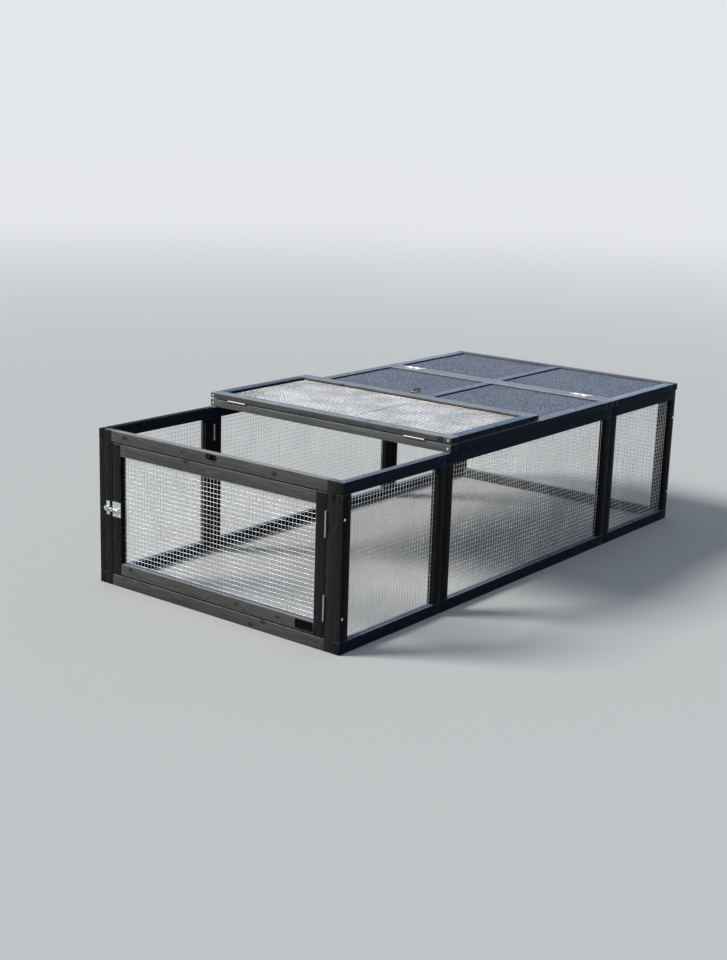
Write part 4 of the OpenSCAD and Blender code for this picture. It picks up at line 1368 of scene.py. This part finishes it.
def floor_material():
    """Pale floor that runs into the backdrop far away and keeps the run's shadow."""
    look = bpy.context.scene.run_stage
    made, tree, shader = material("Pale floor")
    away = vector_calc(tree, "LENGTH", object_position(tree))
    pale = tint(tree, fade(tree, away, FADE_START, FADE_END), look.floor_color, look.far_color)
    seen = tint(tree, shown_ray(tree), look.bounce_color, pale)
    fill(tree, shader, {"Base Color": seen, "Roughness": 0.9, "Specular IOR Level": 0.1})
    return made


def lay_floor(scene):
    """The pale floor that the run stands on."""
    bm = bmesh.new()
    bmesh.ops.create_grid(bm, x_segments=1, y_segments=1, size=FLOOR_HALF)
    mesh = bpy.data.meshes.new("stage_floor")
    bm.to_mesh(mesh)
    bm.free()
    floor = bpy.data.objects.new("stage_floor", mesh)
    scene.collection.objects.link(floor)
    mesh.materials.append(floor_material())


def light_sky(scene):
    """Soft light from all round, behind a backdrop that the camera sees instead."""
    look = scene.run_stage
    world = bpy.data.worlds.new("Soft light")
    world.use_nodes = True
    scene.world = world
    tree = world.node_tree
    tree.nodes.clear()
    light = put(
        tree, "ShaderNodeBackground",
        {"Color": (*look.sky_color, 1.0), "Strength": look.sky_strength},
    )
    shown = put(
        tree, "ShaderNodeBackground", {"Color": (*BACKDROP_SHOWN, 1.0), "Strength": 1.0}
    )
    mixed = put(
        tree, "ShaderNodeMixShader",
        {0: shown_ray(tree), 1: light.outputs[0], 2: shown.outputs[0]},
    )
    put(tree, "ShaderNodeOutputWorld", {"Surface": mixed.outputs[0]})


def hang_lamp(scene):
    """The key lamp, which shines from the left like a hazy sun."""
    look = scene.run_stage
    lamp = bpy.data.lights.new("key_lamp", "SUN")
    lamp.energy, lamp.angle, lamp.color = look.key_strength, look.key_softness, KEY_COLOR
    holder = bpy.data.objects.new("key_lamp", lamp)
    holder.location = KEY_PLACE
    holder.rotation_euler = (-Vector(KEY_PLACE)).to_track_quat("-Z", "Y").to_euler()
    scene.collection.objects.link(holder)


def set_camera(scene):
    """The camera, placed and turned as the photograph was taken."""
    camera = bpy.data.cameras.new("photo_camera")
    camera.lens = scene.run_stage.focal_length
    camera.clip_start, camera.clip_end = CLIP_START, CLIP_END
    eye = bpy.data.objects.new("photo_camera", camera)
    scene.collection.objects.link(eye)
    level_forward = Vector((-math.sin(CAMERA_AZIMUTH), math.cos(CAMERA_AZIMUTH), 0.0))
    right = Vector((level_forward.y, -level_forward.x, 0.0))
    forward = level_forward * math.cos(CAMERA_ELEVATION)
    forward.z = -math.sin(CAMERA_ELEVATION)
    up = right.cross(forward)
    turned_right = right * math.cos(CAMERA_ROLL) + up * math.sin(CAMERA_ROLL)
    turned_up = up * math.cos(CAMERA_ROLL) - right * math.sin(CAMERA_ROLL)
    turn = Matrix((turned_right, turned_up, -forward)).transposed().to_4x4()
    eye.matrix_world = Matrix.Translation(CAMERA_PLACE) @ turn
    scene.camera = eye


class RUN_OT_stage(bpy.types.Operator):
    """Pale floor, soft light and the camera"""

    bl_idname = "run.stage"
    bl_label = "Stage"

    def execute(self, context):
        context.scene.view_settings.view_transform = "Standard"
        for step in (lay_floor, light_sky, hang_lamp, set_camera):
            step(context.scene)
        return {"FINISHED"}


# ---- Panel and run --------------------------------------------------------------------

# The bolt is made before the hinges and screws, whose heads are of its zinc
OPERATORS = [
    RUN_OT_boards, RUN_OT_welded_mesh, RUN_OT_felt, RUN_OT_roof_boards, RUN_OT_bolt,
    RUN_OT_hinges, RUN_OT_screws, RUN_OT_hasp, RUN_OT_door_plate, RUN_OT_stage,
]


class RUN_PT_run(bpy.types.Panel):
    """The run's pieces and their settings"""

    bl_idname = "RUN_PT_run"
    bl_label = "Rabbit Run"
    bl_space_type = "VIEW_3D"
    bl_region_type = "UI"
    bl_category = "Rabbit Run"

    def draw(self, context):
        for operator in OPERATORS:
            self.layout.operator(operator.bl_idname)
        for attribute, group in SETTINGS.items():
            box = self.layout.box()
            box.label(text=group.__doc__)
            for name in group.__annotations__:
                box.prop(getattr(context.scene, attribute), name)


CLASSES = [*SETTINGS.values(), *OPERATORS, RUN_PT_run]


def register():
    """Makes the settings, operators and panel known to the program."""
    for item in CLASSES:
        bpy.utils.register_class(item)
    for attribute, group in SETTINGS.items():
        setattr(bpy.types.Scene, attribute, PointerProperty(type=group))


def unregister():
    """Takes the settings, operators and panel away again."""
    for attribute in SETTINGS:
        delattr(bpy.types.Scene, attribute)
    for item in reversed(CLASSES):
        bpy.utils.unregister_class(item)


def main():
    """Makes the settings known, builds the node groups and then every piece in order."""
    register()
    for build_group in (build_grain_group, build_wear_group, build_dust_group):
        build_group()
    for operator in OPERATORS:
        category, name = operator.bl_idname.split(".")
        getattr(getattr(bpy.ops, category), name)()


if __name__ == "__main__":
    main()
